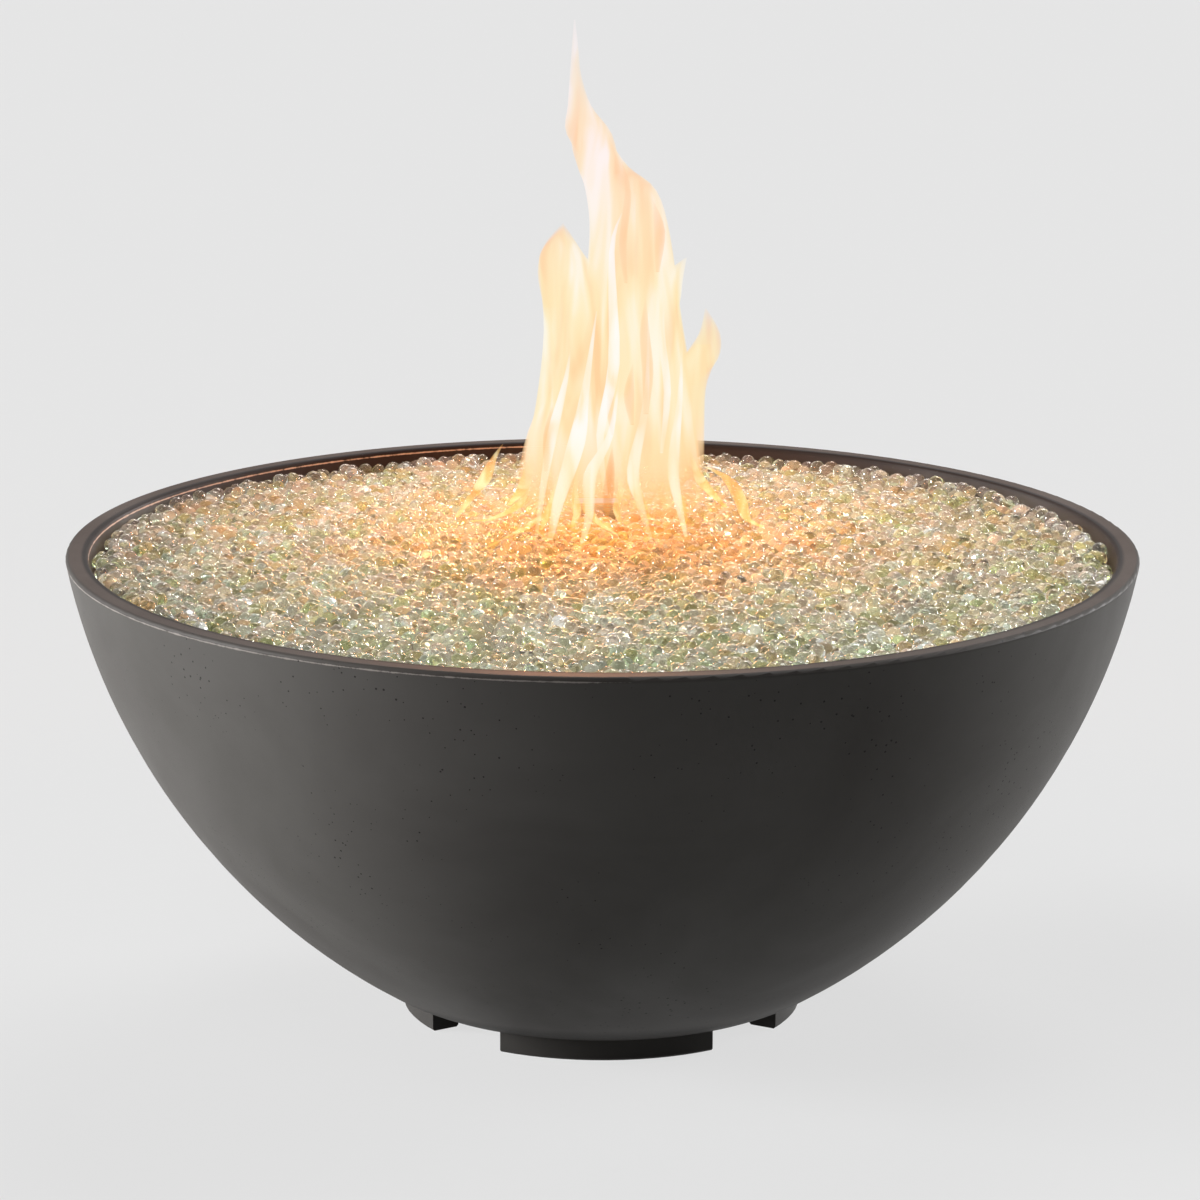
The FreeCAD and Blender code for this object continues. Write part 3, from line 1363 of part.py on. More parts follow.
def fasteners():
    """Every group of screws and inserts."""
    small = ("small_screw_radius", "small_head_radius", "small_head_height")
    large = ("large_screw_radius", "large_head_radius", "large_head_height")
    flange_ring = ring_places("pan_screw_circle", "pan_screw_count", "180/tray_rib_count")
    base_ring = ring_places("inlet_screw_circle", "inlet_screw_count")
    screw_group("pan_screws", flange_ring, small[0], "pan_screw_length", small[1], small[2],
                place(z=TRAY_TOP + " + pan_sheet"))
    screw_group("pilot_screws", pilot_screw_places(), small[0], "4*pan_sheet", small[1], small[2],
                place(z=PAN_TOP + " + pan_sheet"))
    screw_group("valve_screws", valve_screw_places(), small[0], "valve_screw_length", small[1], small[2],
                on_panel(z="panel_sheet"))
    screw_group("panel_screws", panel_screw_places(), large[0], "insert_length + panel_sheet",
                large[1], large[2], on_panel(z="panel_sheet"))
    screw_group("base_screws", base_ring, large[0], "insert_length + inlet_plate_sheet",
                large[1], large[2], place(z=INLET_PLATE_TOP))
    inserts("panel_inserts", panel_screw_places(), PANEL)
    inserts("base_inserts", base_ring, place(z=FLOOR_TOP))


def build():
    """Builds every sub-part in the document."""
    bowl_shell()
    media_tray()
    tray_ribs()
    burner_pan()
    burner_ring()
    burner_nipple()
    burner_lock_nuts()
    air_mixer()
    air_shutter()
    shutter_screw()
    orifice_spud()
    mixer_elbow()
    inlet_plate()
    inlet_fitting()
    inlet_lock_nut()
    inlet_elbow()
    hoses()
    control_plate()
    valve_body()
    valve_stem()
    thrust_washer()
    washers_and_springs()
    knob_bezel()
    control_knob()
    igniter_body()
    igniter_nut()
    igniter_battery()
    cap_gasket()
    igniter_cap()
    igniter_button()
    pilot_bracket()
    electrode()
    thermocouple()
    leads()
    fasteners()
    glass_media()
    doc.recompute()


def check_and_write():
    """Stops on a failed object or a bad shape, then writes one file for each sub-part."""
    for item in doc.Objects:
        if "Invalid" in item.State or "Error" in item.State:
            raise RuntimeError("%s failed: %s" % (item.Label, item.State))
    for part in PARTS:
        if part.Shape.isNull() or not part.Shape.isValid() or not part.Shape.Solids:
            raise RuntimeError("%s has no valid solid" % part.Label)
    os.makedirs("parts", exist_ok=True)
    for part in PARTS:
        part.Shape.exportStep("parts/%s.step" % part.Label)
        print("%-22s solids %2d  volume %.1f" % (part.Label, len(part.Shape.Solids), part.Shape.Volume))


build()
check_and_write()
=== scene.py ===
"""Gas fire pit bowl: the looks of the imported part. Metres, +Z up, the controls are at the back, on +Y."""

import json
import math
import random

import bmesh
import bpy
import numpy as np
from mathutils import Matrix, Vector, kdtree, noise
from mathutils.bvhtree import BVHTree

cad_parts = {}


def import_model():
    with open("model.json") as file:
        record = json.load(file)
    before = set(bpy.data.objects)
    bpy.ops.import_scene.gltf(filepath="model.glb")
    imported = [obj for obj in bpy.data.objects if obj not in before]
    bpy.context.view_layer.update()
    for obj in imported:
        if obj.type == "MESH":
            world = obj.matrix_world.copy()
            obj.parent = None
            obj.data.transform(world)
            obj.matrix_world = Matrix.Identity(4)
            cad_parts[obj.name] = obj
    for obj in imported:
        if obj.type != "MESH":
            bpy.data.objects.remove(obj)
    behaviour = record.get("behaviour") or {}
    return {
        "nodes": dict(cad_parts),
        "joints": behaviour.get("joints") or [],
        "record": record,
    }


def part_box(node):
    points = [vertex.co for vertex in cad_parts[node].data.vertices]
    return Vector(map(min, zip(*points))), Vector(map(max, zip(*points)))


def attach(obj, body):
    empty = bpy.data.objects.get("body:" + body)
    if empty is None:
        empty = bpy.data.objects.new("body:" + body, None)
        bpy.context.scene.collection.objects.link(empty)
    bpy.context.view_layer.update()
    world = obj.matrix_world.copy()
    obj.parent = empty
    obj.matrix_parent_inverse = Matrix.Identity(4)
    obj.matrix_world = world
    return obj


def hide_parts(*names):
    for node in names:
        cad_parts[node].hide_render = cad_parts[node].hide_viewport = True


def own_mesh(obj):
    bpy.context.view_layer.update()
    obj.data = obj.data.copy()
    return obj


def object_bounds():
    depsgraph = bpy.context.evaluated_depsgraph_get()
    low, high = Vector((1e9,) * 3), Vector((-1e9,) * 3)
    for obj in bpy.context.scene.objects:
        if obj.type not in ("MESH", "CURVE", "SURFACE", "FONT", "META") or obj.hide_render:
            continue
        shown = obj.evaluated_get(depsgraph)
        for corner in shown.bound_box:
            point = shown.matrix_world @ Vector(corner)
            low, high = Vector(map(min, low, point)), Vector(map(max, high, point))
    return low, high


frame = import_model()
cad_low, cad_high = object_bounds()
NODES = frame["nodes"]
MM = 0.001

# Places that are read from the frame
RIM_TOP = cad_high.z
BED_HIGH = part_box("glass_media")[1]
BED_RADIUS = BED_HIGH.x
BED_MESH = NODES["glass_media"].data
BED_TREE = BVHTree.FromPolygons([vertex.co for vertex in BED_MESH.vertices],
                                [list(face.vertices) for face in BED_MESH.polygons])
DOWN = Vector((0, 0, -1))
PROBE_START = BED_HIGH.z + MM
BED_EDGE = BED_TREE.ray_cast(Vector((BED_RADIUS - MM, 0, PROBE_START)), DOWN)[0].z
HOOD_LOW, HOOD_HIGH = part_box("pilot_bracket")
JOINTS = {joint["name"]: joint for joint in frame["joints"]}
KNOB_CENTRE = Vector(JOINTS["knob_turn"]["pos_m"])
BUTTON_CENTRE = Vector(JOINTS["cap_unscrew"]["pos_m"])
PANEL_OUT = Vector(JOINTS["knob_turn"]["axis"])
PANEL_SIDE = Vector((-1, 0, 0))
PANEL_UP = PANEL_OUT.cross(PANEL_SIDE)
PANEL_TURN = Matrix((PANEL_SIDE, PANEL_UP, PANEL_OUT)).transposed()
PLATE_SHEET = 2 * MM


# Nodes of the materials

RISING = (0.0, 1.0)
FALLING = (1.0, 0.0)
# Where a ramp gets a new stop, before the stop moves to its own place
NEW_STOP = 0.5


def new_material(name):
    """A new node material, its tree and its Principled shader."""
    material = bpy.data.materials.new(name)
    material.use_nodes = True
    return material, material.node_tree, material.node_tree.nodes["Principled BSDF"]


def add(tree, kind, settings=None, **inputs):
    """A node with its settings, and its inputs as numbers or as links from other nodes' outputs."""
    made = tree.nodes.new("ShaderNode" + kind)
    for key, setting in (settings or {}).items():
        setattr(made, key, setting)
    for key, source in inputs.items():
        socket = made.inputs[int(key[1:])] if key[1:].isdigit() else made.inputs[key.replace("_", " ")]
        plug(tree, source, socket)
    return made


def plug(tree, source, socket):
    """Feeds an input from an output, from a node's first output, or with a plain value."""
    if isinstance(source, bpy.types.NodeSocket):
        tree.links.new(source, socket)
    elif isinstance(source, bpy.types.Node):
        tree.links.new(source.outputs[0], socket)
    elif socket.type == "RGBA":
        socket.default_value = (*source, 1)
    else:
        socket.default_value = source


def coordinates(tree, stretch=(1, 1, 1)):
    """The object's own coordinates in metres, times the stretch."""
    place = add(tree, "TexCoord")
    return add(tree, "Mapping", Vector=place.outputs["Object"], Scale=stretch)


def cloud(tree, place, **settings):
    """The value of a smooth noise at a place."""
    return add(tree, "TexNoise", Vector=place, **settings).outputs[0]


def ramp(tree, source, stops, steps="LINEAR"):
    """The colour of a ramp at a value. A stop is (place, colour)."""
    made = add(tree, "ValToRGB", Fac=source)
    made.color_ramp.interpolation = steps
    elements = made.color_ramp.elements
    while len(elements) < len(stops):
        elements.new(NEW_STOP)
    for element, (place, colour) in zip(elements, stops):
        element.position = place
        element.color = (*colour, 1)
    return made.outputs[0]


def spread(tree, source, results, span=(0.0, 1.0)):
    """A value mapped from the span to the results, and held at their ends beyond it."""
    made = add(tree, "MapRange", Value=source, From_Min=span[0], From_Max=span[1],
               To_Min=results[0], To_Max=results[1])
    return made.outputs[0]


def maths(tree, operation, *terms, clamp=False):
    """The result of one operation on its terms."""
    made = add(tree, "Math", {"operation": operation, "use_clamp": clamp})
    for number, term in enumerate(terms):
        plug(tree, term, made.inputs[number])
    return made.outputs[0]


def mixed(tree, share, first, second, blend="MULTIPLY"):
    """A share of the second colour over the first one, multiplied or plainly mixed."""
    made = add(tree, "Mix", {"data_type": "RGBA", "blend_type": blend}, _0=share, _6=first, _7=second)
    return made.outputs[2]


def grey(tree, colour):
    """How bright a colour is."""
    return add(tree, "RGBToBW", Color=colour).outputs[0]


def axes(tree):
    """A point's three coordinates, as the outputs X, Y and Z."""
    return add(tree, "SeparateXYZ", Vector=coordinates(tree)).outputs


def level_reach(tree, parts, centre):
    """A point's distance from the vertical line through the centre."""
    flat = add(tree, "CombineXYZ", X=parts["X"], Y=parts["Y"])
    return add(tree, "VectorMath", {"operation": "DISTANCE"}, _0=flat, _1=centre).outputs["Value"]


def bumped(tree, shader, height, strength, distance):
    """Gives a shader a fine relief."""
    bump = add(tree, "Bump", Height=height, Strength=strength, Distance=distance)
    tree.links.new(bump.outputs[0], shader.inputs["Normal"])


# Materials

TONE_SPAN = (0.3, 0.7)
GRAIN_NOISE = dict(Detail=6.0, Roughness=0.6)
CRYSTAL_SCALE = 0.4


def finish_material(name, dark, light, rough, scale, metallic=0.0, stretch=(1, 1, 1), bump=0.05,
                    bump_depth=0.2 * MM, cells=False, coat=0.0):
    """A finish with two tones, from noise or from crystal cells, uneven gloss and a fine relief."""
    material, tree, shader = new_material(name)
    place = coordinates(tree, stretch)
    grain = cloud(tree, place, Scale=scale, **GRAIN_NOISE)
    pattern = grain
    if cells:
        crystals = add(tree, "TexVoronoi", Vector=place, Scale=scale * CRYSTAL_SCALE)
        pattern = grey(tree, crystals.outputs["Color"])
    tones = list(zip(TONE_SPAN, (dark, light)))
    plug(tree, ramp(tree, pattern, tones), shader.inputs["Base Color"])
    plug(tree, spread(tree, grain, rough, TONE_SPAN), shader.inputs["Roughness"])
    shader.inputs["Metallic"].default_value = metallic
    shader.inputs["Coat Weight"].default_value = coat
    bumped(tree, shader, grain, bump, bump_depth)
    return material


# Concrete: its cloudy tone and fine sand
CONCRETE_TONES = [(0.3, (0.060, 0.056, 0.052)), (0.7, (0.080, 0.076, 0.071))]
CLOUD_NOISE = dict(Scale=4.0, Detail=8.0, Roughness=0.55, Distortion=0.4)
CLOUD_SPAN = (0.35, 0.65)
SAND_NOISE = dict(Scale=900.0, Detail=3.0, Roughness=0.7)
CONCRETE_ROUGHNESS = (0.66, 0.54)
CONCRETE_SPECULAR = 0.14
CONCRETE_WAVES = 2.0
CONCRETE_BUMP = 0.35
CONCRETE_BUMP_DEPTH = 0.35 * MM
# Pinholes, painted dark as painted shade inside them: how close together, and how wide for their cells, in
# patches of noise that have few or many
PIT_SHADE_COLOUR = (0.015, 0.014, 0.013)
PIT_SCALE = 120.0
PIT_PATCH_NOISE = dict(Scale=9.0, Detail=2.0)
PIT_PATCH_SPAN = (0.42, 0.66)
PIT_SIZES = (0.03, 0.14)
# Chalky line under the rim's edge: its levels, and how strong it is left and right of the two places
CHALK_COLOUR = (0.30, 0.27, 0.25)
CHALK_LEVELS = (RIM_TOP - 7 * MM, RIM_TOP - 2 * MM)
CHALK_MIDDLE = 0.5
CHALK_NOISE = dict(Scale=85.0, Detail=8.0, Roughness=0.8)
CHALK_SPAN = (0.20, 0.27)
CHALK_SHARES = (0.0, 0.75)
CHALK_SIDES = (-40 * MM, 20 * MM)
CHALK_STRENGTHS = (1.25, 0.70)
# Brown heat stain inside the rim, deepened there as painted shade on the inner wall, painted shade on the
# rim's top, and painted shade near the floor
BOWL_AXIS = (0, 0, 0)
STAIN_AND_SHADE_COLOUR = (0.15, 0.108, 0.088)
STAIN_AND_SHADE_EDGE = (519 * MM, 522 * MM)
STAIN_AND_SHADE_LEVELS = (430 * MM, 440 * MM)
# Painted shade: the rim's top is darker
RIM_TOP_SHADE_COLOUR = (0.60, 0.56, 0.54)
RIM_TOP_SHADE_LEVELS = (RIM_TOP - 6 * MM, RIM_TOP - 3 * MM)
# Painted shade near the floor, over the feet and the bowl's lowest part
BOTTOM_SHADE_COLOUR = (0.42, 0.41, 0.40)
BOTTOM_SHADE_LEVELS = (36 * MM, 48 * MM)


def concrete():
    """Dark cast concrete, with pinholes painted dark as painted shade, a chalky line under the rim's edge, a
    heat stain deepened as painted shade, painted shade on the rim's top and painted shade near the floor.
    """
    material, tree, shader = new_material("cast_concrete")
    place = coordinates(tree)
    parts = axes(tree)
    side, height = parts["X"], parts["Z"]
    clouds = cloud(tree, place, **CLOUD_NOISE)
    sand = cloud(tree, place, **SAND_NOISE)

    cells = add(tree, "TexVoronoi", Vector=place, Scale=PIT_SCALE)
    sizes = spread(tree, cloud(tree, place, **PIT_PATCH_NOISE), PIT_SIZES, PIT_PATCH_SPAN)
    pits = maths(tree, "LESS_THAN", cells.outputs["Distance"], sizes)

    band = maths(tree, "PINGPONG", spread(tree, height, FALLING, CHALK_LEVELS), CHALK_MIDDLE)
    broken = maths(tree, "MULTIPLY", band, cloud(tree, place, **CHALK_NOISE))
    uneven = maths(tree, "MULTIPLY", broken, spread(tree, side, CHALK_STRENGTHS, CHALK_SIDES))
    chalk = spread(tree, uneven, CHALK_SHARES, CHALK_SPAN)

    # Heat stain inside the rim, deepened as painted shade on the inner wall
    inward = spread(tree, level_reach(tree, parts, BOWL_AXIS), FALLING, STAIN_AND_SHADE_EDGE)
    stain_and_shade = maths(tree, "MULTIPLY", inward, spread(tree, height, RISING, STAIN_AND_SHADE_LEVELS))
    colour = mixed(tree, stain_and_shade, ramp(tree, clouds, CONCRETE_TONES), STAIN_AND_SHADE_COLOUR)
    # Painted shade on the rim's top
    colour = mixed(tree, spread(tree, height, RISING, RIM_TOP_SHADE_LEVELS), colour, RIM_TOP_SHADE_COLOUR)
    # Painted shade near the floor
    colour = mixed(tree, spread(tree, height, FALLING, BOTTOM_SHADE_LEVELS), colour, BOTTOM_SHADE_COLOUR)
    colour = mixed(tree, chalk, colour, CHALK_COLOUR, "MIX")
    # Pinholes painted dark: painted shade inside them
    colour = mixed(tree, pits, colour, PIT_SHADE_COLOUR, "MIX")
    plug(tree, colour, shader.inputs["Base Color"])

    plug(tree, spread(tree, clouds, CONCRETE_ROUGHNESS, CLOUD_SPAN), shader.inputs["Roughness"])
    shader.inputs["Specular IOR Level"].default_value = CONCRETE_SPECULAR
    relief = maths(tree, "SUBTRACT", sand, pits)
    waves = maths(tree, "MULTIPLY_ADD", clouds, CONCRETE_WAVES, relief)
    bumped(tree, shader, waves, CONCRETE_BUMP, CONCRETE_BUMP_DEPTH)
    return material


# Glass: each gem has one of these tints, from the place on that its stop names
GEM_TINTS = [(0.0, (0.97, 0.98, 0.96)), (0.32, (0.88, 0.94, 0.82)), (0.54, (0.96, 0.98, 0.96)),
             (0.70, (0.82, 0.88, 0.62)), (0.83, (0.85, 0.96, 0.94)), (0.92, (0.95, 0.84, 0.64))]
GEM_SHADOW = (0.84, 0.84, 0.79)
GEM_IOR = 1.42
WISP_NOISE = dict(Scale=160.0, Detail=2.0)
WISP_SPAN = (0.35, 0.65)
WISP_SHADES = (0.90, 1.0)
GEM_GLOSS_SPAN = (0.4, 0.7)
GEM_ROUGHNESS = (0.01, 0.05)
CLEAR_TRANSMISSION = 0.96
CLEAR_TONE = (1, 1, 1)
MILKY_TRANSMISSION = 0.45
# Painted shade: the under layer's glass is darker than the top layer's
UNDER_SHADE_TONE = (0.43, 0.40, 0.36)
# Soot and painted warm flame light on the gems round the flame's foot
SOOT_AND_GLOW_CENTRE = (0.01, 0.07, 0)
SOOT_AND_GLOW_REACH = (0.06, 0.30)
SOOT_AND_GLOW_TINT = (0.93, 0.79, 0.62)
# The fill under the gems: pale spots for deeper gems, and dark spots of painted shade between them
FILL_GEM_AND_SHADE_TONES = [(0.08, (0.02, 0.019, 0.013)), (0.20, (0.13, 0.13, 0.08)), (0.34, (0.38, 0.37, 0.27)),
              (0.52, (0.74, 0.72, 0.61))]
FILL_CELL_SCALE = 75.0
FILL_SPOT_NOISE = dict(Scale=110.0, Detail=2.0)
FILL_ROUGHNESS = 0.25
FILL_BUMP = 0.8
FILL_BUMP_DEPTH = 3 * MM


def gem_glass(name, clearness, shade_tone):
    """Tempered glass: clear, sage and olive gems, which let the lamps through to the gems below. Its shade
    tone paints shade on the under layer, and round the flame's foot it has soot and painted flame light.
    """
    material, tree, shader = new_material(name)
    tint = ramp(tree, add(tree, "NewGeometry").outputs["Random Per Island"], GEM_TINTS, "CONSTANT")
    wisps = cloud(tree, coordinates(tree), **WISP_NOISE)
    colour = mixed(tree, 1.0, tint, spread(tree, wisps, WISP_SHADES, WISP_SPAN))
    # The shade tone: painted shade on the under layer, none on the top one
    colour = mixed(tree, 1.0, colour, shade_tone)
    # Soot and painted flame light: warmer towards the flame's foot
    soot_and_glow = spread(tree, level_reach(tree, axes(tree), SOOT_AND_GLOW_CENTRE), FALLING, SOOT_AND_GLOW_REACH)
    plug(tree, mixed(tree, soot_and_glow, colour, SOOT_AND_GLOW_TINT), shader.inputs["Base Color"])
    plug(tree, spread(tree, wisps, GEM_ROUGHNESS, GEM_GLOSS_SPAN), shader.inputs["Roughness"])
    shader.inputs["Transmission Weight"].default_value = clearness
    shader.inputs["IOR"].default_value = GEM_IOR
    clear = add(tree, "BsdfTransparent", Color=GEM_SHADOW)
    lamp_ray = add(tree, "LightPath").outputs["Is Shadow Ray"]
    both = add(tree, "MixShader", _0=lamp_ray, _1=shader, _2=clear)
    plug(tree, both, tree.nodes["Material Output"].inputs["Surface"])
    return material


def gem_fill():
    """The gems underneath, which show only as pale spots and dark spots of painted shade through the top
    ones.
    """
    material, tree, shader = new_material("fire_glass_fill")
    place = coordinates(tree)
    cells = add(tree, "TexVoronoi", Vector=place, Scale=FILL_CELL_SCALE)
    spots = cloud(tree, place, **FILL_SPOT_NOISE)
    pattern = maths(tree, "MULTIPLY", grey(tree, cells.outputs["Color"]), spots)
    plug(tree, ramp(tree, pattern, FILL_GEM_AND_SHADE_TONES), shader.inputs["Base Color"])
    shader.inputs["Roughness"].default_value = FILL_ROUGHNESS
    bumped(tree, shader, cells.outputs["Distance"], FILL_BUMP, FILL_BUMP_DEPTH)
    return material


MATERIALS = {
    "concrete": concrete(),
    "stainless": finish_material("brushed_stainless", (0.50, 0.49, 0.47), (0.66, 0.65, 0.63), (0.22, 0.38),
                                 scale=90.0, metallic=1.0, stretch=(0.3, 12, 12), bump=0.04),
    "galvanised": finish_material("galvanised_steel", (0.40, 0.42, 0.43), (0.62, 0.64, 0.65), (0.35, 0.55),
                                  scale=160.0, metallic=0.9, cells=True),
    "black_iron": finish_material("black_iron", (0.018, 0.018, 0.019), (0.05, 0.048, 0.046), (0.45, 0.7),
                                  scale=500.0, metallic=0.6, bump=0.3),
    "brass": finish_material("machined_brass", (0.55, 0.38, 0.13), (0.72, 0.53, 0.22), (0.22, 0.36),
                             scale=260.0, metallic=1.0),
    "hose_rubber": finish_material("hose_rubber", (0.012, 0.012, 0.012), (0.035, 0.034, 0.033),
                                   (0.55, 0.75), scale=700.0, bump=0.3),
    "lead_rubber": finish_material("lead_sleeve", (0.30, 0.035, 0.02), (0.42, 0.06, 0.035), (0.4, 0.55),
                                   scale=400.0, bump=0.1),
    "black_plastic": finish_material("black_plastic", (0.016, 0.016, 0.017), (0.03, 0.03, 0.03),
                                     (0.38, 0.5), scale=1600.0, bump=0.25, bump_depth=0.1 * MM),
    "red_plastic": finish_material("red_plastic", (0.42, 0.02, 0.015), (0.52, 0.03, 0.02), (0.18, 0.28),
                                   scale=300.0, coat=0.3),
    "white_plastic": finish_material("white_nylon", (0.66, 0.65, 0.60), (0.78, 0.77, 0.72), (0.4, 0.5),
                                     scale=500.0),
    "battery_wrap": finish_material("battery_wrap", (0.04, 0.05, 0.07), (0.08, 0.09, 0.12), (0.25, 0.35),
                                    scale=200.0, metallic=0.4),
    "white_ceramic": finish_material("white_ceramic", (0.70, 0.68, 0.62), (0.84, 0.82, 0.77), (0.35, 0.6),
                                     scale=350.0, bump=0.15),
    "glass_gems": gem_glass("fire_glass", CLEAR_TRANSMISSION, CLEAR_TONE),
    "milky_gems": gem_glass("fire_glass_milky_shaded", MILKY_TRANSMISSION, UNDER_SHADE_TONE),
}


def dress_nodes():
    """Every CAD node that stays gets the material of its slot."""
    for part in frame["record"]["subparts"]:
        node = NODES[part["node"]]
        for place in node.material_slots:
            place.material = MATERIALS[part["material_slot"]]


# Pieces

def new_piece(name, points, faces, material, body="bowl", smooth=True):
    """A mesh piece in the frame's own coordinates, on its body."""
    mesh = bpy.data.meshes.new(name)
    mesh.from_pydata(points, [], faces)
    mesh.update()
    mesh.polygons.foreach_set("use_smooth", [smooth] * len(mesh.polygons))
    mesh.materials.append(material)
    piece = bpy.data.objects.new(name, mesh)
    bpy.context.scene.collection.objects.link(piece)
    if body:
        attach(piece, body)
    return piece


def ring_faces(rings, sides):
    """The faces between rings of points that follow each other."""
    faces = []
    for ring in range(rings - 1):
        for side in range(sides):
            a = ring * sides + side
            b = ring * sides + (side + 1) % sides
            faces.append((a, b, b + sides, a + sides))
    return faces


# The glass bed: its gems' half sizes, their share in height and in width, and how they lie
GEM_SPACING = 15.8 * MM
GEM_HALF = (7.6 * MM, 9.9 * MM)
GEM_FLATNESS = (0.78, 1.0)
GEM_NARROWNESS = (0.82, 1.0)
GEM_TILT = 0.35
GEM_LIFT = 3.5 * MM
GEM_TOP = BED_HIGH.z + 5 * MM
# Gems near the rim lie higher towards both sides
EDGE_LIFT = 6 * MM
EDGE_BAND = 30 * MM
# A layer is narrower by this share of its depth, and its gems stay this share of their size inside
LAYER_TAPER = 0.3
WALL_SHARE = 0.95
# A gem's shape: an icosphere with lumps, lower under its middle. Each shape's lumps start elsewhere
GEM_SHAPES = 16
GEM_LUMPINESS = 0.07
LUMP_SCALE = 0.9
LUMP_STEP = (7.3, 3.1, 0)
UNDERSIDE_SHARE = 0.85
# The layers: name, depth, spacing, seed, subdivisions of the gems, material
UNDER_SPACING = GEM_SPACING * 1.1
GEM_LAYERS = (
    ("fire_glass_top", 5.5 * MM, GEM_SPACING, 11, 2, "glass_gems"),
    ("fire_glass_under", 14 * MM, UNDER_SPACING, 23, 1, "milky_gems"),
)
SECTORS = 8
TINY = 1e-6
# The scatter: its rows reach past the disc, are jittered, and then push near neighbours apart
ROW_MARGIN = 1.2
SPARE_ROWS = 2
ROW_PITCH = math.sqrt(0.75)
JITTER = 0.35
RELAX_STEPS = 8
RELAX_SHARE = 0.3
NEAREST = 7
# The fill lies lower than the CAD bed and a little inside its wall
FILL_DEPTH = 18 * MM
FILL_WALL_BAND = 3 * MM
FILL_INSET = 4 * MM


def bed_height(x, y):
    """The level of the CAD bed's top over a point. Over a hole, and on its lower parts, it is the edge's."""
    hit = BED_TREE.ray_cast(Vector((x, y, PROBE_START)), DOWN)[0]
    return max(hit.z, BED_EDGE) if hit else BED_EDGE


def scatter(radius, spacing, seed):
    """Uneven places on a disc, none much nearer to another than the spacing."""
    draw = random.Random(seed)
    rows = int(radius / spacing * ROW_MARGIN) + SPARE_ROWS
    places = []
    for row in range(-rows, rows + 1):
        for column in range(-rows, rows + 1):
            x = (column + row % 2 / 2 + draw.uniform(-JITTER, JITTER)) * spacing
            y = (row * ROW_PITCH + draw.uniform(-JITTER, JITTER)) * spacing
            if math.hypot(x, y) < radius:
                places.append(Vector((x, y, 0)))
    for _ in range(RELAX_STEPS):
        tree = kdtree.KDTree(len(places))
        for index, place in enumerate(places):
            tree.insert(place, index)
        tree.balance()
        for index, place in enumerate(places):
            push = Vector()
            for near, other, gap in tree.find_n(place, NEAREST):
                if other != index and 0 < gap < spacing:
                    push += (place - near) / gap * (spacing - gap) * RELAX_SHARE
            moved = place + push
            places[index] = moved * min(1.0, radius / max(moved.length, radius))
    return places


def gem_shapes(subdivisions):
    """A few uneven pebbles of unit size, flatter below: their points and faces."""
    ball = bmesh.new()
    bmesh.ops.create_icosphere(ball, subdivisions=subdivisions, radius=1)
    points = [vertex.co.copy() for vertex in ball.verts]
    faces = [[vertex.index for vertex in face.verts] for face in ball.faces]
    ball.free()
    shapes = []
    for number in range(GEM_SHAPES):
        offset = Vector([number * step for step in LUMP_STEP])
        shape = [point * (1 + GEM_LUMPINESS * noise.noise(point * LUMP_SCALE + offset)) for point in points]
        shapes.append(np.array([(p.x, p.y, p.z * (1 if p.z > 0 else UNDERSIDE_SHARE)) for p in shape]))
    return shapes, np.array(faces)


def clear_of_hood(place, reach):
    """True if a gem there doesn't touch the pilot's hood."""
    beside = place.x < HOOD_LOW.x - reach or place.x > HOOD_HIGH.x + reach
    before = place.y < HOOD_LOW.y - reach or place.y > HOOD_HIGH.y + reach
    return beside or before


def gem_layer(name, depth, spacing, seed, subdivisions, material):
    """One layer of gems, as one piece for each sector of the bed."""
    shapes, faces = gem_shapes(subdivisions)
    draw = random.Random(seed)
    sectors = [([], []) for _ in range(SECTORS)]
    for place in scatter(BED_RADIUS - GEM_HALF[0] - depth * LAYER_TAPER, spacing, seed):
        half = draw.uniform(*GEM_HALF)
        size = Vector((half, half * draw.uniform(*GEM_NARROWNESS), half * draw.uniform(*GEM_FLATNESS)))
        tilt_x = Matrix.Rotation(draw.gauss(0, GEM_TILT), 3, "X")
        tilt_y = Matrix.Rotation(draw.gauss(0, GEM_TILT), 3, "Y")
        turn = Matrix.Rotation(draw.uniform(0, math.tau), 3, "Z") @ (tilt_x @ tilt_y)
        lift = draw.uniform(-GEM_LIFT, GEM_LIFT)
        if place.length > BED_RADIUS - EDGE_BAND:
            lift += EDGE_LIFT * abs(place.x) / BED_RADIUS
        shape = shapes[draw.randrange(GEM_SHAPES)]
        if not clear_of_hood(place, half):
            continue
        inward = min(1.0, (BED_RADIUS - half * WALL_SHARE) / max(place.length, TINY))
        x, y = place.x * inward, place.y * inward
        points = (shape * np.array(size)) @ np.array(turn).T
        highest = GEM_TOP - points[:, 2].max()
        points += np.array((x, y, min(bed_height(x, y) - depth + lift, highest)))
        number = int((math.atan2(y, x) % math.tau) / (math.tau / SECTORS)) % SECTORS
        sector_points, sector_faces = sectors[number]
        first = sum(len(block) for block in sector_points)
        sector_points.append(points)
        sector_faces.append(faces + first)
    made = []
    for number, (blocks, face_blocks) in enumerate(sectors, start=1):
        piece = new_piece("%s_%d" % (name, number), np.concatenate(blocks).tolist(),
                          np.concatenate(face_blocks).tolist(), MATERIALS[material])
        made.append(piece)
    return made


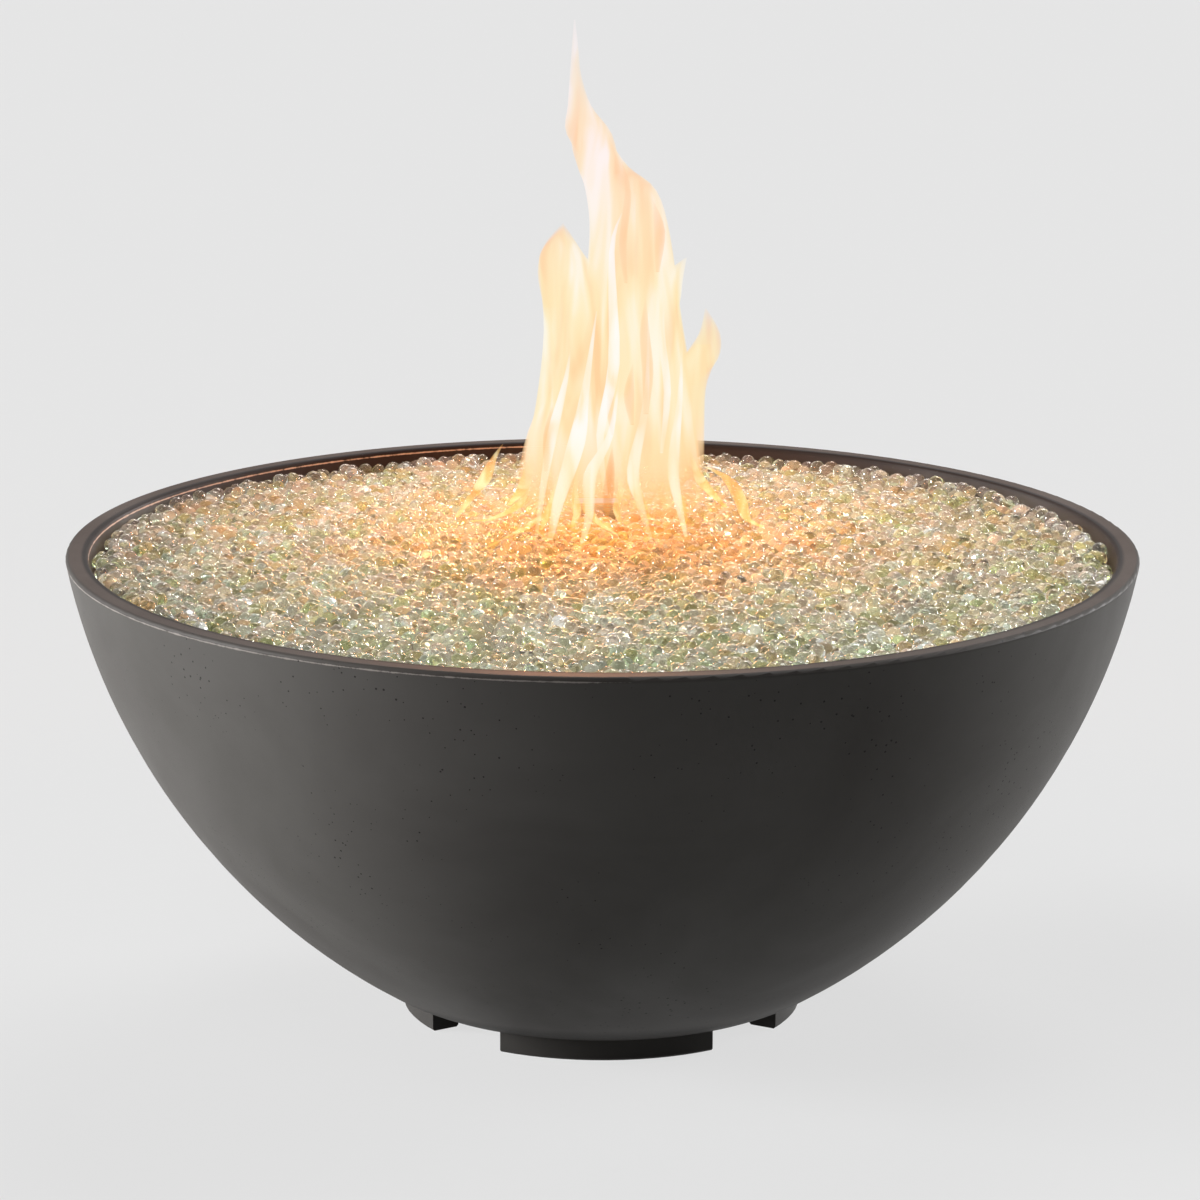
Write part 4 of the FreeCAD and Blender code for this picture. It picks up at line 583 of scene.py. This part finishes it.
def glass_bed():
    """The bed: two layers of gems over a fill of the CAD solid's form, which is lowered under them."""
    gems = []
    for layer in GEM_LAYERS:
        gems += gem_layer(*layer)
    points = [vertex.co.copy() for vertex in BED_MESH.vertices]
    for point in points:
        if point.z > BED_EDGE - FILL_DEPTH:
            point.z = max(BED_EDGE - FILL_DEPTH, point.z - FILL_DEPTH)
            reach = math.hypot(point.x, point.y)
            if reach > BED_RADIUS - FILL_WALL_BAND:
                point.xy *= 1 - FILL_INSET / reach
    faces = [list(face.vertices) for face in BED_MESH.polygons]
    fill = new_piece("fire_glass_fill", points, faces, gem_fill(), smooth=False)
    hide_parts("glass_media")
    for piece in gems:
        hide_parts("glass_media")


# The coils: name, node and joint of the spring, its middle, the coil's radius, half its wire, turns
COILS = (
    ("knob_coil", "knob_spring", "knob_push", KNOB_CENTRE, 6.2 * MM, 0.5 * MM, 2.5),
    ("button_coil", "button_spring", "button_press", BUTTON_CENTRE, 5.2 * MM, 0.4 * MM, 3.5),
)
STEPS_PER_TURN = 20
WIRE_SIDES = 10


def tube(path, radius):
    """Points and faces of a round tube along a path, closed at its ends."""
    points = []
    normal = None
    for index, place in enumerate(path):
        ahead = path[min(index + 1, len(path) - 1)] - path[max(index - 1, 0)]
        ahead = ahead.normalized()
        if normal is None:
            normal = ahead.orthogonal()
        normal = (normal - ahead * normal.dot(ahead)).normalized()
        across = ahead.cross(normal)
        for side in range(WIRE_SIDES):
            angle = math.tau * side / WIRE_SIDES
            points.append(place + radius * (math.cos(angle) * normal + math.sin(angle) * across))
    faces = ring_faces(len(path), WIRE_SIDES)
    faces.append(tuple(range(WIRE_SIDES))[::-1])
    faces.append(tuple(range(len(points) - WIRE_SIDES, len(points))))
    return points, faces


def coil_spring(name, node, foot, length, radius, wire, turns):
    """A real coil in place of a spring's envelope."""
    steps = int(turns * STEPS_PER_TURN)
    path = []
    for step in range(steps + 1):
        angle = math.tau * turns * step / steps
        level = wire + (length - 2 * wire) * step / steps
        path.append(foot + radius * (math.cos(angle) * PANEL_SIDE + math.sin(angle) * PANEL_UP)
                    + PANEL_OUT * level)
    points, faces = tube(path, wire)
    piece = new_piece(name, points, faces, MATERIALS["stainless"])
    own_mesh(piece)
    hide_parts(node)


def along_panel(node):
    """How far a node reaches along the control plate's outward axis: lowest, highest."""
    levels = [vertex.co.dot(PANEL_OUT) for vertex in NODES[node].data.vertices]
    return min(levels), max(levels)


def springs():
    """The two coils, each as long as the CAD spring that it replaces."""
    for name, node, joint, centre, radius, wire, turns in COILS:
        low, high = along_panel(node)
        foot = centre + PANEL_OUT * (low - centre.dot(PANEL_OUT))
        coil_spring(name, node, foot, high - low, radius, wire, turns)


# Plain marks on the control plate and the dial ring: words and ticks by the knob's turn in degrees
MARK_WORDS = (("OFF", -90), ("HI", 0), ("LO", 110))
MARK_RADIUS = 37.5 * MM
MARK_HEIGHT = 6.5 * MM
MARK_RELIEF = 0.15 * MM
MARK_LEVEL = PLATE_SHEET + MARK_RELIEF * 0.6
TICK_TURNS = range(-90, 111, 20)
TICK_INNER = 26.2 * MM
TICK_OUTER = 29.4 * MM
TICK_WIDTH = 0.9 * MM
TICK_SUNK = 0.05 * MM
TICK_CORNERS = ((TICK_INNER, -1), (TICK_OUTER, -1), (TICK_OUTER, 1), (TICK_INNER, 1))
BOX_FACES = ((3, 2, 1, 0), (4, 5, 6, 7), (0, 1, 5, 4), (1, 2, 6, 5), (2, 3, 7, 6), (3, 0, 4, 7))
INK_TONES = ((0.02, 0.02, 0.02), (0.05, 0.05, 0.05))
INK_ROUGHNESS = (0.5, 0.7)
INK_GRAIN = 900.0


def on_plate(x, y, z):
    """A point in the knob's own frame on the control plate: side, up, out."""
    return KNOB_CENTRE + PANEL_SIDE * x + PANEL_UP * y + PANEL_OUT * z


def dial_angle(turn):
    """The direction in which the knob's pointer shows at a turn, in the plate's frame."""
    return math.pi + math.radians(turn)


def word(name, text, x, y, level, material):
    """A short raised word on the control plate."""
    curve = bpy.data.curves.new(name, "FONT")
    curve.body = text
    curve.size = MARK_HEIGHT
    curve.extrude = MARK_RELIEF
    curve.align_x = "CENTER"
    curve.align_y = "CENTER"
    letters = bpy.data.objects.new(name + "_text", curve)
    bpy.context.scene.collection.objects.link(letters)
    bpy.context.view_layer.update()
    mesh = bpy.data.meshes.new_from_object(letters)
    bpy.data.objects.remove(letters)
    mesh.transform(Matrix.Translation(on_plate(x, y, level)) @ PANEL_TURN.to_4x4())
    mesh.name = name
    mesh.materials.clear()
    mesh.materials.append(material)
    piece = bpy.data.objects.new(name, mesh)
    bpy.context.scene.collection.objects.link(piece)
    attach(piece, "bowl")


def dial_marks():
    """The words round the knob, and the ticks on the dial ring as one piece."""
    ink = finish_material("etched_black", *INK_TONES, INK_ROUGHNESS, scale=INK_GRAIN)
    for text, turn in MARK_WORDS:
        angle = dial_angle(turn)
        x, y = MARK_RADIUS * math.cos(angle), MARK_RADIUS * math.sin(angle)
        word("mark_" + text.lower(), text, x, y, MARK_LEVEL, ink)
    points, faces = [], []
    top = along_panel("knob_bezel")[1] - KNOB_CENTRE.dot(PANEL_OUT)
    for turn in TICK_TURNS:
        angle = dial_angle(turn)
        outward = Vector((math.cos(angle), math.sin(angle)))
        aside = Vector((-outward.y, outward.x)) * TICK_WIDTH / 2
        first = len(points)
        for level in (top - TICK_SUNK, top + MARK_RELIEF):
            for reach, side in TICK_CORNERS:
                flat = outward * reach + aside * side
                points.append(on_plate(flat.x, flat.y, level))
        faces += [[first + corner for corner in face] for face in BOX_FACES]
    new_piece("dial_ticks", points, faces, ink, smooth=False)


# The flame is part of the stage. Its heights are over its foot, and its body stands in one plane
FLAME_FOOT = BED_HIGH.z + 2 * MM
FLAME_RISE = (FLAME_FOOT, FLAME_FOOT + 0.125)
FLAME_TOP_RISE = (FLAME_FOOT + 0.24, FLAME_FOOT + 0.40)
FLAME_TOP_TINT = (1.0, 0.94, 1.10)
FLAME_FOOT_TINT = (1.0, 0.44, 0.14)
FLAME_CORE_TINT = (1.0, 0.82, 0.52)
FLAME_Y = 0.083
FLAME_DEPTH = 0.7
ROUND_DEPTH = 1.0
STREAK_NOISE = dict(Scale=1.0, Detail=2.5, Roughness=0.5, Distortion=0.7)
STREAK_SPAN = (0.36, 0.60)
FADE_POWER = 3.0
# The kinds of gas: colours by the streaks' noise, density, how fine the streaks are, the shares of the
# density in them, and at the foot the share of the density, the glow and the tint
GASES = {
    "pale": dict(tones=[(0.36, (1.0, 0.66, 0.36)), (0.44, (1.0, 0.80, 0.47)), (0.53, (1.0, 0.86, 0.56)),
                        (0.64, (1.0, 0.95, 0.80))],
                 density=190, streak=(46, 46, 7), cover=(0.45, 1.0),
                 foot_cover=0.0010, foot_glow=1.4, foot_tint=FLAME_FOOT_TINT),
    "core": dict(tones=[(0.36, (1.0, 0.86, 0.60)), (0.50, (1.0, 0.96, 0.84)), (0.62, (1.0, 0.99, 0.95))],
                 density=360, streak=(50, 50, 9), cover=(0.35, 1.0),
                 foot_cover=0.45, foot_glow=1.15, foot_tint=FLAME_CORE_TINT),
    "shade": dict(tones=[(0.38, (1.0, 0.50, 0.20)), (0.60, (1.0, 0.70, 0.42))],
                  density=160, streak=(50, 50, 9), cover=(0.4, 1.0),
                  foot_cover=1.0, foot_glow=1.0, foot_tint=FLAME_CORE_TINT),
    "lick": dict(tones=[(0.36, (1.0, 0.42, 0.10)), (0.48, (1.0, 0.66, 0.26)), (0.60, (1.0, 0.92, 0.62))],
                 density=260, streak=(60, 60, 14), cover=(0.3, 1.0),
                 foot_cover=0.85, foot_glow=1.35, foot_tint=FLAME_CORE_TINT),
    "gap": dict(tones=[(0.38, (0.75, 0.26, 0.06)), (0.60, (0.95, 0.42, 0.12))],
                density=110, streak=(50, 50, 12), cover=(0.5, 1.0),
                foot_cover=1.0, foot_glow=1.0, foot_tint=FLAME_CORE_TINT),
}
# The main body and the tongues beside it: (x, height, half width) from foot to tip
FLAME_BODY = (
    (0.010, 0.000, 0.090), (0.010, 0.032, 0.098), (0.012, 0.104, 0.086), (0.024, 0.172, 0.066),
    (0.030, 0.227, 0.051), (0.029, 0.304, 0.041), (0.020, 0.350, 0.036), (0.002, 0.374, 0.026),
    (-0.010, 0.398, 0.020), (-0.016, 0.418, 0.008),
)
FLAME_TONGUES = (
    ("flame_main", FLAME_BODY),
    ("flame_top", ((0.006, 0.368, 0.014), (-0.012, 0.407, 0.023), (-0.022, 0.436, 0.012),
                   (-0.026, 0.467, 0.0058), (-0.0265, 0.495, 0.0034), (-0.027, 0.522, 0.0008))),
    ("flame_left", ((-0.036, 0.000, 0.046), (-0.036, 0.052, 0.046), (-0.032, 0.132, 0.034),
                    (-0.026, 0.207, 0.032), (-0.034, 0.266, 0.028), (-0.040, 0.290, 0.020),
                    (-0.037, 0.315, 0.0008))),
    ("flame_left_tip", ((-0.050, 0.232, 0.008), (-0.052, 0.267, 0.012), (-0.046, 0.294, 0.012),
                        (-0.038, 0.317, 0.0008))),
    ("flame_right", ((0.070, 0.000, 0.036), (0.076, 0.092, 0.030), (0.082, 0.147, 0.025),
                     (0.098, 0.177, 0.018), (0.104, 0.194, 0.008))),
    ("flame_right_tip", ((0.088, 0.152, 0.010), (0.101, 0.178, 0.018), (0.110, 0.204, 0.011),
                         (0.106, 0.230, 0.0008))),
    ("flame_notch", ((0.054, 0.204, 0.016), (0.062, 0.236, 0.018), (0.070, 0.260, 0.013),
                     (0.086, 0.282, 0.0008))),
)
# Darker gas low in the middle: (x, height) from foot to tip, and half the width
FLAME_GAP = ((0.004, 0.030), (0.006, 0.050), (0.008, 0.075), (0.010, 0.100))
FLAME_GAP_HALF = 0.0070
# White streaks, the same way: five in the lower half from left to right, and two higher up
FLAME_STREAKS = (
    (((-0.066, 0.002), (-0.058, 0.062), (-0.049, 0.112), (-0.036, 0.162), (-0.031, 0.192)), 0.0055),
    (((-0.052, 0.002), (-0.044, 0.042), (-0.026, 0.102), (-0.017, 0.152), (-0.005, 0.232)), 0.0090),
    (((-0.020, 0.002), (-0.013, 0.032), (-0.012, 0.072), (0.008, 0.112), (0.018, 0.172)), 0.0070),
    (((0.050, 0.002), (0.038, 0.042), (0.031, 0.077), (0.044, 0.142), (0.047, 0.232)), 0.0065),
    (((0.086, 0.002), (0.078, 0.037), (0.072, 0.077), (0.079, 0.142), (0.082, 0.200)), 0.0060),
    (((0.004, 0.052), (-0.002, 0.112), (0.012, 0.182), (0.010, 0.292), (0.020, 0.332)), 0.0060),
    (((0.060, 0.092), (0.066, 0.152), (0.060, 0.212), (0.064, 0.252)), 0.0050),
)
# Orange streaks, the same way
FLAME_SHADES = (
    (((0.044, 0.132), (0.046, 0.172), (0.043, 0.212), (0.044, 0.247)), 0.0075),
    (((0.030, 0.122), (0.027, 0.152), (0.031, 0.182)), 0.0055),
    (((-0.056, 0.072), (-0.053, 0.107), (-0.049, 0.137)), 0.0060),
    (((0.024, 0.262), (0.021, 0.302), (0.026, 0.352), (0.020, 0.382)), 0.0050),
    (((0.010, 0.112), (0.008, 0.142), (0.012, 0.177)), 0.0040),
    (((0.056, 0.272), (0.058, 0.312), (0.052, 0.342)), 0.0060),
)
# Low licks over the gems: (x, y, height) from foot to tip, and half the width
FLAME_LICKS = (
    (((-0.146, 0.153, 0.000), (-0.130, 0.130, 0.027), (-0.118, 0.106, 0.049), (-0.109, 0.083, 0.075),
      (-0.099, 0.083, 0.091)), 0.0070),
    (((-0.130, 0.131, 0.000), (-0.111, 0.115, 0.006), (-0.088, 0.099, 0.020), (-0.076, 0.083, 0.039),
      (-0.069, 0.083, 0.059)), 0.0060),
    (((-0.121, -0.002, 0.000), (-0.102, 0.015, 0.006), (-0.088, 0.032, 0.009), (-0.071, 0.049, 0.015),
      (-0.057, 0.066, 0.023), (-0.048, 0.083, 0.041), (-0.043, 0.083, 0.070)), 0.0055),
    (((-0.060, 0.093, 0.000), (-0.053, 0.088, 0.018), (-0.046, 0.083, 0.036), (-0.043, 0.083, 0.061)),
     0.0060),
    (((0.015, 0.071, 0.000), (-0.003, 0.075, 0.011), (-0.013, 0.079, 0.025), (-0.008, 0.083, 0.043),
      (-0.003, 0.083, 0.063)), 0.0060),
    (((-0.006, -0.011, 0.000), (0.006, 0.001, 0.004), (0.016, 0.013, 0.008)), 0.0045),
    (((0.052, 0.140, 0.000), (0.045, 0.121, 0.019), (0.037, 0.102, 0.038), (0.032, 0.083, 0.062),
      (0.029, 0.083, 0.084)), 0.0060),
    (((0.084, 0.093, 0.000), (0.087, 0.089, 0.015), (0.082, 0.086, 0.031), (0.075, 0.083, 0.045),
      (0.068, 0.083, 0.065)), 0.0055),
    (((0.166, 0.101, 0.000), (0.150, 0.097, 0.010), (0.143, 0.092, 0.031), (0.131, 0.088, 0.052),
      (0.115, 0.083, 0.063), (0.098, 0.083, 0.070)), 0.0080),
    (((0.134, 0.196, 0.000), (0.120, 0.158, 0.020), (0.106, 0.121, 0.042), (0.096, 0.083, 0.067),
      (0.088, 0.083, 0.092)), 0.0065),
    (((-0.091, 0.209, 0.000), (-0.079, 0.146, 0.030), (-0.073, 0.083, 0.063), (-0.069, 0.083, 0.086)),
     0.0080),
    (((-0.028, 0.106, 0.000), (-0.023, 0.094, 0.019), (-0.026, 0.083, 0.039), (-0.023, 0.083, 0.065)),
     0.0055),
    (((0.022, 0.114, 0.000), (0.017, 0.099, 0.020), (0.021, 0.083, 0.043), (0.017, 0.083, 0.065)),
     0.0050),
)
# How a streak's half width starts, grows with the share of the way, and ends
TAPER_FOOT = 0.35
TAPER_SWELL = 1.3
TAPER_TIP = 0.06
TONGUE_SIDES = 20
TONGUE_STEPS = 4
TONGUE_THINNEST = 0.4 * MM
# The lamps in the flame: (x, height)
FLAME_LAMPS = ((-0.04, 0.17), (0.05, 0.22), (-0.01, 0.29), (0.03, 0.36))
FLAME_LAMP_POWER = 6.6
FLAME_LAMP_COLOUR = (1.0, 0.42, 0.20)
FLAME_LAMP_RADIUS = 0.07


def flame_material(name, tones, density, streak, cover, foot_cover, foot_glow, foot_tint):
    """Burning gas as a volume that glows and covers what is behind it, in rising streaks."""
    material, tree, _ = new_material(name)
    tree.nodes.clear()
    streaks = cloud(tree, coordinates(tree, streak), **STREAK_NOISE)
    height = axes(tree)["Z"]
    rise = spread(tree, height, (foot_cover ** (1 / FADE_POWER), 1.0), FLAME_RISE)
    low_fade = maths(tree, "POWER", rise, FADE_POWER)
    share = spread(tree, streaks, (cover[0] * density, cover[1] * density), STREAK_SPAN)
    amount = maths(tree, "MULTIPLY", share, low_fade)
    light = maths(tree, "MULTIPLY", amount, spread(tree, height, (foot_glow, 1.0), FLAME_RISE))
    low_share = spread(tree, height, FALLING, FLAME_RISE)
    top_share = spread(tree, height, RISING, FLAME_TOP_RISE)
    colour = mixed(tree, low_share, ramp(tree, streaks, tones), foot_tint)
    colour = mixed(tree, top_share, colour, FLAME_TOP_TINT)
    glow = add(tree, "Emission", Color=colour, Strength=light)
    cover_up = add(tree, "VolumeAbsorption", Color=(0, 0, 0), Density=amount)
    add(tree, "OutputMaterial", Volume=add(tree, "AddShader", _0=glow, _1=cover_up))
    return material


def catmull(a, b, c, d, share):
    """A point between b and c on a smooth line through four points."""
    return 0.5 * (2 * b + (c - a) * share + (2 * a - 5 * b + 4 * c - d) * share ** 2
                  + (3 * b - a - 3 * c + d) * share ** 3)


def tongue(name, spine, material, depth=FLAME_DEPTH):
    """A smooth, tapering tongue round a spine of (x, y, height, half width), open at both ends."""
    curve = [Vector(place) for place in spine]
    stations = []
    for index in range(len(curve) - 1):
        before = curve[max(index - 1, 0)]
        after = curve[min(index + 2, len(curve) - 1)]
        for step in range(TONGUE_STEPS):
            share = step / TONGUE_STEPS
            stations.append(catmull(before, curve[index], curve[index + 1], after, share))
    stations.append(curve[-1])
    points = []
    for x, y, height, half in stations:
        z = FLAME_FOOT + height
        half = max(half, TONGUE_THINNEST)
        for side in range(TONGUE_SIDES):
            angle = math.tau * side / TONGUE_SIDES
            points.append((x + half * math.cos(angle), y + half * depth * math.sin(angle), z))
    piece = new_piece(name, points, ring_faces(len(stations), TONGUE_SIDES), material, body=None)
    for ray in ("visible_diffuse", "visible_shadow", "visible_volume_scatter"):
        setattr(piece, ray, False)


def front_of_flame(x, height):
    """Where the main body's front lies at a place, from its half width there."""
    last = len(FLAME_BODY) - 1
    index = sum(1 for station in FLAME_BODY[1:last] if station[1] <= height)
    lower, upper = Vector(FLAME_BODY[index]), Vector(FLAME_BODY[index + 1])
    share = min(1.0, max(0.0, (height - lower[1]) / (upper[1] - lower[1])))
    middle = lower[0] + (upper[0] - lower[0]) * share
    half = lower[2] + (upper[2] - lower[2]) * share
    return FLAME_Y - FLAME_DEPTH * math.sqrt(max(0.0, half ** 2 - (x - middle) ** 2))


def on_front(spine):
    """A streak's points laid on the front of the main body."""
    return [(x, front_of_flame(x, height), height) for x, height in spine]


def tapered(spine, half):
    """A spine's points with half widths that swell from the foot and run out at the tip."""
    last = len(spine) - 1
    stations = []
    for index, point in enumerate(spine):
        if index < last / 2:
            share = TAPER_FOOT + TAPER_SWELL * index / last
        else:
            share = max(TAPER_TIP, 2 * (1 - index / last))
        stations.append((*point, half * share))
    return stations


def flames():
    """Burning gas over the ring burner, as one main body, its side tongues, streaks and low licks."""
    gas = {kind: flame_material("flame_" + kind, **looks) for kind, looks in GASES.items()}
    tongue("flame_gap", tapered(on_front(FLAME_GAP), FLAME_GAP_HALF), gas["gap"], ROUND_DEPTH)
    for name, spine in FLAME_TONGUES:
        tongue(name, [(x, FLAME_Y, height, half) for x, height, half in spine], gas["pale"])
    for number, (spine, half) in enumerate(FLAME_STREAKS, start=1):
        tongue("flame_streak_%d" % number, tapered(on_front(spine), half), gas["core"], ROUND_DEPTH)
    for number, (spine, half) in enumerate(FLAME_SHADES, start=1):
        tongue("flame_shade_%d" % number, tapered(on_front(spine), half), gas["shade"], ROUND_DEPTH)
    for number, (spine, half) in enumerate(FLAME_LICKS, start=1):
        tongue("flame_lick_%d" % number, tapered(spine, half), gas["lick"], ROUND_DEPTH)


def flame_lamps():
    """The light that the flame throws. Gloss shows only the first lamp, and glass shows none."""
    for number, (x, height) in enumerate(FLAME_LAMPS, start=1):
        lamp = bpy.data.lights.new("flame_light_%d" % number, "POINT")
        lamp.energy = FLAME_LAMP_POWER
        lamp.color = FLAME_LAMP_COLOUR
        lamp.shadow_soft_size = FLAME_LAMP_RADIUS
        spot = bpy.data.objects.new(lamp.name, lamp)
        spot.location = (x, FLAME_Y, FLAME_FOOT + height)
        spot.visible_glossy = number == 1
        spot.visible_transmission = False
        bpy.context.scene.collection.objects.link(spot)


# Stage, lamps and camera. The suns: name, azimuth, elevation, level, softness
SUNS = (
    ("key_light", -95, 6, 3.2, 30),
    ("rim_light", 121, 3, 2.0, 30),
    ("back_light", 165, 50, 0.36, 24),
    ("top_light", -30, 62, 0.14, 22),
)
BACKGROUND = (0.783, 0.783, 0.783)
WORLD_FILL = 0.06
FLOOR_HALF = 30.0
FLOOR_ALBEDO = 0.36
FLOOR_DARKER = 0.98
FLOOR_GRAIN = dict(Scale=40.0, Detail=4.0)
FLOOR_ROUGHNESS = 0.9
FLOOR_PLAIN = (0.95, 0.95, 0.95)
FLOOR_SEEN_SHARE = 0.72
CAMERA_TURN = -1.75
CAMERA_PITCH = 13.48
CAMERA_DISTANCE = 5.013
CAMERA_AIM = Vector((-0.0025, 0, 0.4194))
CAMERA_ROLL = 0.003
CAMERA_LENS = 149.4
CAMERA_SENSOR = 36
CAMERA_RANGE = 200
TRANSPARENT_BOUNCES = 24
VOLUME_STEP_RATE = 0.25


def pale_rays(tree):
    """1 for the rays that see the surroundings pale: the camera's, and those of gloss and glass."""
    path = add(tree, "LightPath").outputs
    seen = maths(tree, "ADD", path["Is Camera Ray"], path["Is Glossy Ray"], clamp=True)
    return maths(tree, "ADD", seen, path["Is Transmission Ray"], clamp=True)


def floor():
    """A pale floor. Most of what the camera sees of it is its plain colour, so its shadow stays soft."""
    mesh = bpy.data.meshes.new("floor")
    corners = [(x * FLOOR_HALF, y * FLOOR_HALF, 0) for x, y in ((-1, -1), (1, -1), (1, 1), (-1, 1))]
    mesh.from_pydata(corners, [], [(0, 1, 2, 3)])
    material, tree, shader = new_material("pale_floor")
    grain = cloud(tree, coordinates(tree), **FLOOR_GRAIN)
    tones = list(zip(TONE_SPAN, ((FLOOR_ALBEDO * FLOOR_DARKER,) * 3, (FLOOR_ALBEDO,) * 3)))
    plug(tree, ramp(tree, grain, tones), shader.inputs["Base Color"])
    shader.inputs["Roughness"].default_value = FLOOR_ROUGHNESS
    shader.inputs["Specular IOR Level"].default_value = 0.0
    plain = add(tree, "Emission", Color=FLOOR_PLAIN, Strength=1.0)
    seen = maths(tree, "MULTIPLY", pale_rays(tree), FLOOR_SEEN_SHARE)
    both = add(tree, "MixShader", _0=seen, _1=shader, _2=plain)
    plug(tree, both, tree.nodes["Material Output"].inputs["Surface"])
    mesh.materials.append(material)
    ground = bpy.data.objects.new("floor", mesh)
    bpy.context.scene.collection.objects.link(ground)


def world():
    """Pale surroundings for the camera, gloss and glass, and an even fill for everything else."""
    surroundings = bpy.data.worlds.new("studio")
    surroundings.use_nodes = True
    tree = surroundings.node_tree
    tree.nodes.clear()
    fill = add(tree, "Background", Color=(1, 1, 1), Strength=WORLD_FILL)
    plain = add(tree, "Background", Color=BACKGROUND, Strength=1.0)
    both = add(tree, "MixShader", _0=pale_rays(tree), _1=fill, _2=plain)
    add(tree, "OutputWorld", Surface=both)
    bpy.context.scene.world = surroundings


def direction(azimuth, elevation):
    """The way out from the bowl. Azimuth 0 is the camera's side and it grows towards +X, in degrees."""
    a, e = math.radians(azimuth), math.radians(elevation)
    return Vector((math.sin(a) * math.cos(e), -math.cos(a) * math.cos(e), math.sin(e)))


def sun(name, azimuth, elevation, level, softness):
    """A wide, soft lamp from a direction. At level 1 a surface that faces it shows its own colour."""
    lamp = bpy.data.lights.new(name, "SUN")
    lamp.energy = level * math.pi
    lamp.angle = math.radians(softness)
    spot = bpy.data.objects.new(name, lamp)
    spot.rotation_euler = direction(azimuth, elevation).to_track_quat("Z", "Y").to_euler()
    bpy.context.scene.collection.objects.link(spot)


def camera():
    """The camera, in the place that the photograph's view of the rim and the feet gives."""
    lens = bpy.data.cameras.new("camera")
    lens.lens = CAMERA_LENS
    lens.sensor_width = CAMERA_SENSOR
    lens.clip_end = CAMERA_RANGE
    view = bpy.data.objects.new("camera", lens)
    back = direction(CAMERA_TURN, CAMERA_PITCH)
    turn = (-back).to_track_quat("-Z", "Y").to_matrix().to_4x4() @ Matrix.Rotation(CAMERA_ROLL, 4, "Z")
    view.matrix_world = Matrix.Translation(CAMERA_AIM + back * CAMERA_DISTANCE) @ turn
    bpy.context.scene.collection.objects.link(view)
    bpy.context.scene.camera = view


def studio():
    """The floor, the surroundings, the suns, the camera and the settings that the picture needs."""
    floor()
    world()
    for lamp in SUNS:
        sun(*lamp)
    camera()
    scene = bpy.context.scene
    scene.view_settings.view_transform = "Standard"
    scene.cycles.transparent_max_bounces = TRANSPARENT_BOUNCES
    scene.cycles.volume_step_rate = VOLUME_STEP_RATE


dress_nodes()
glass_bed()
springs()
dial_marks()
flames()
flame_lamps()
studio()
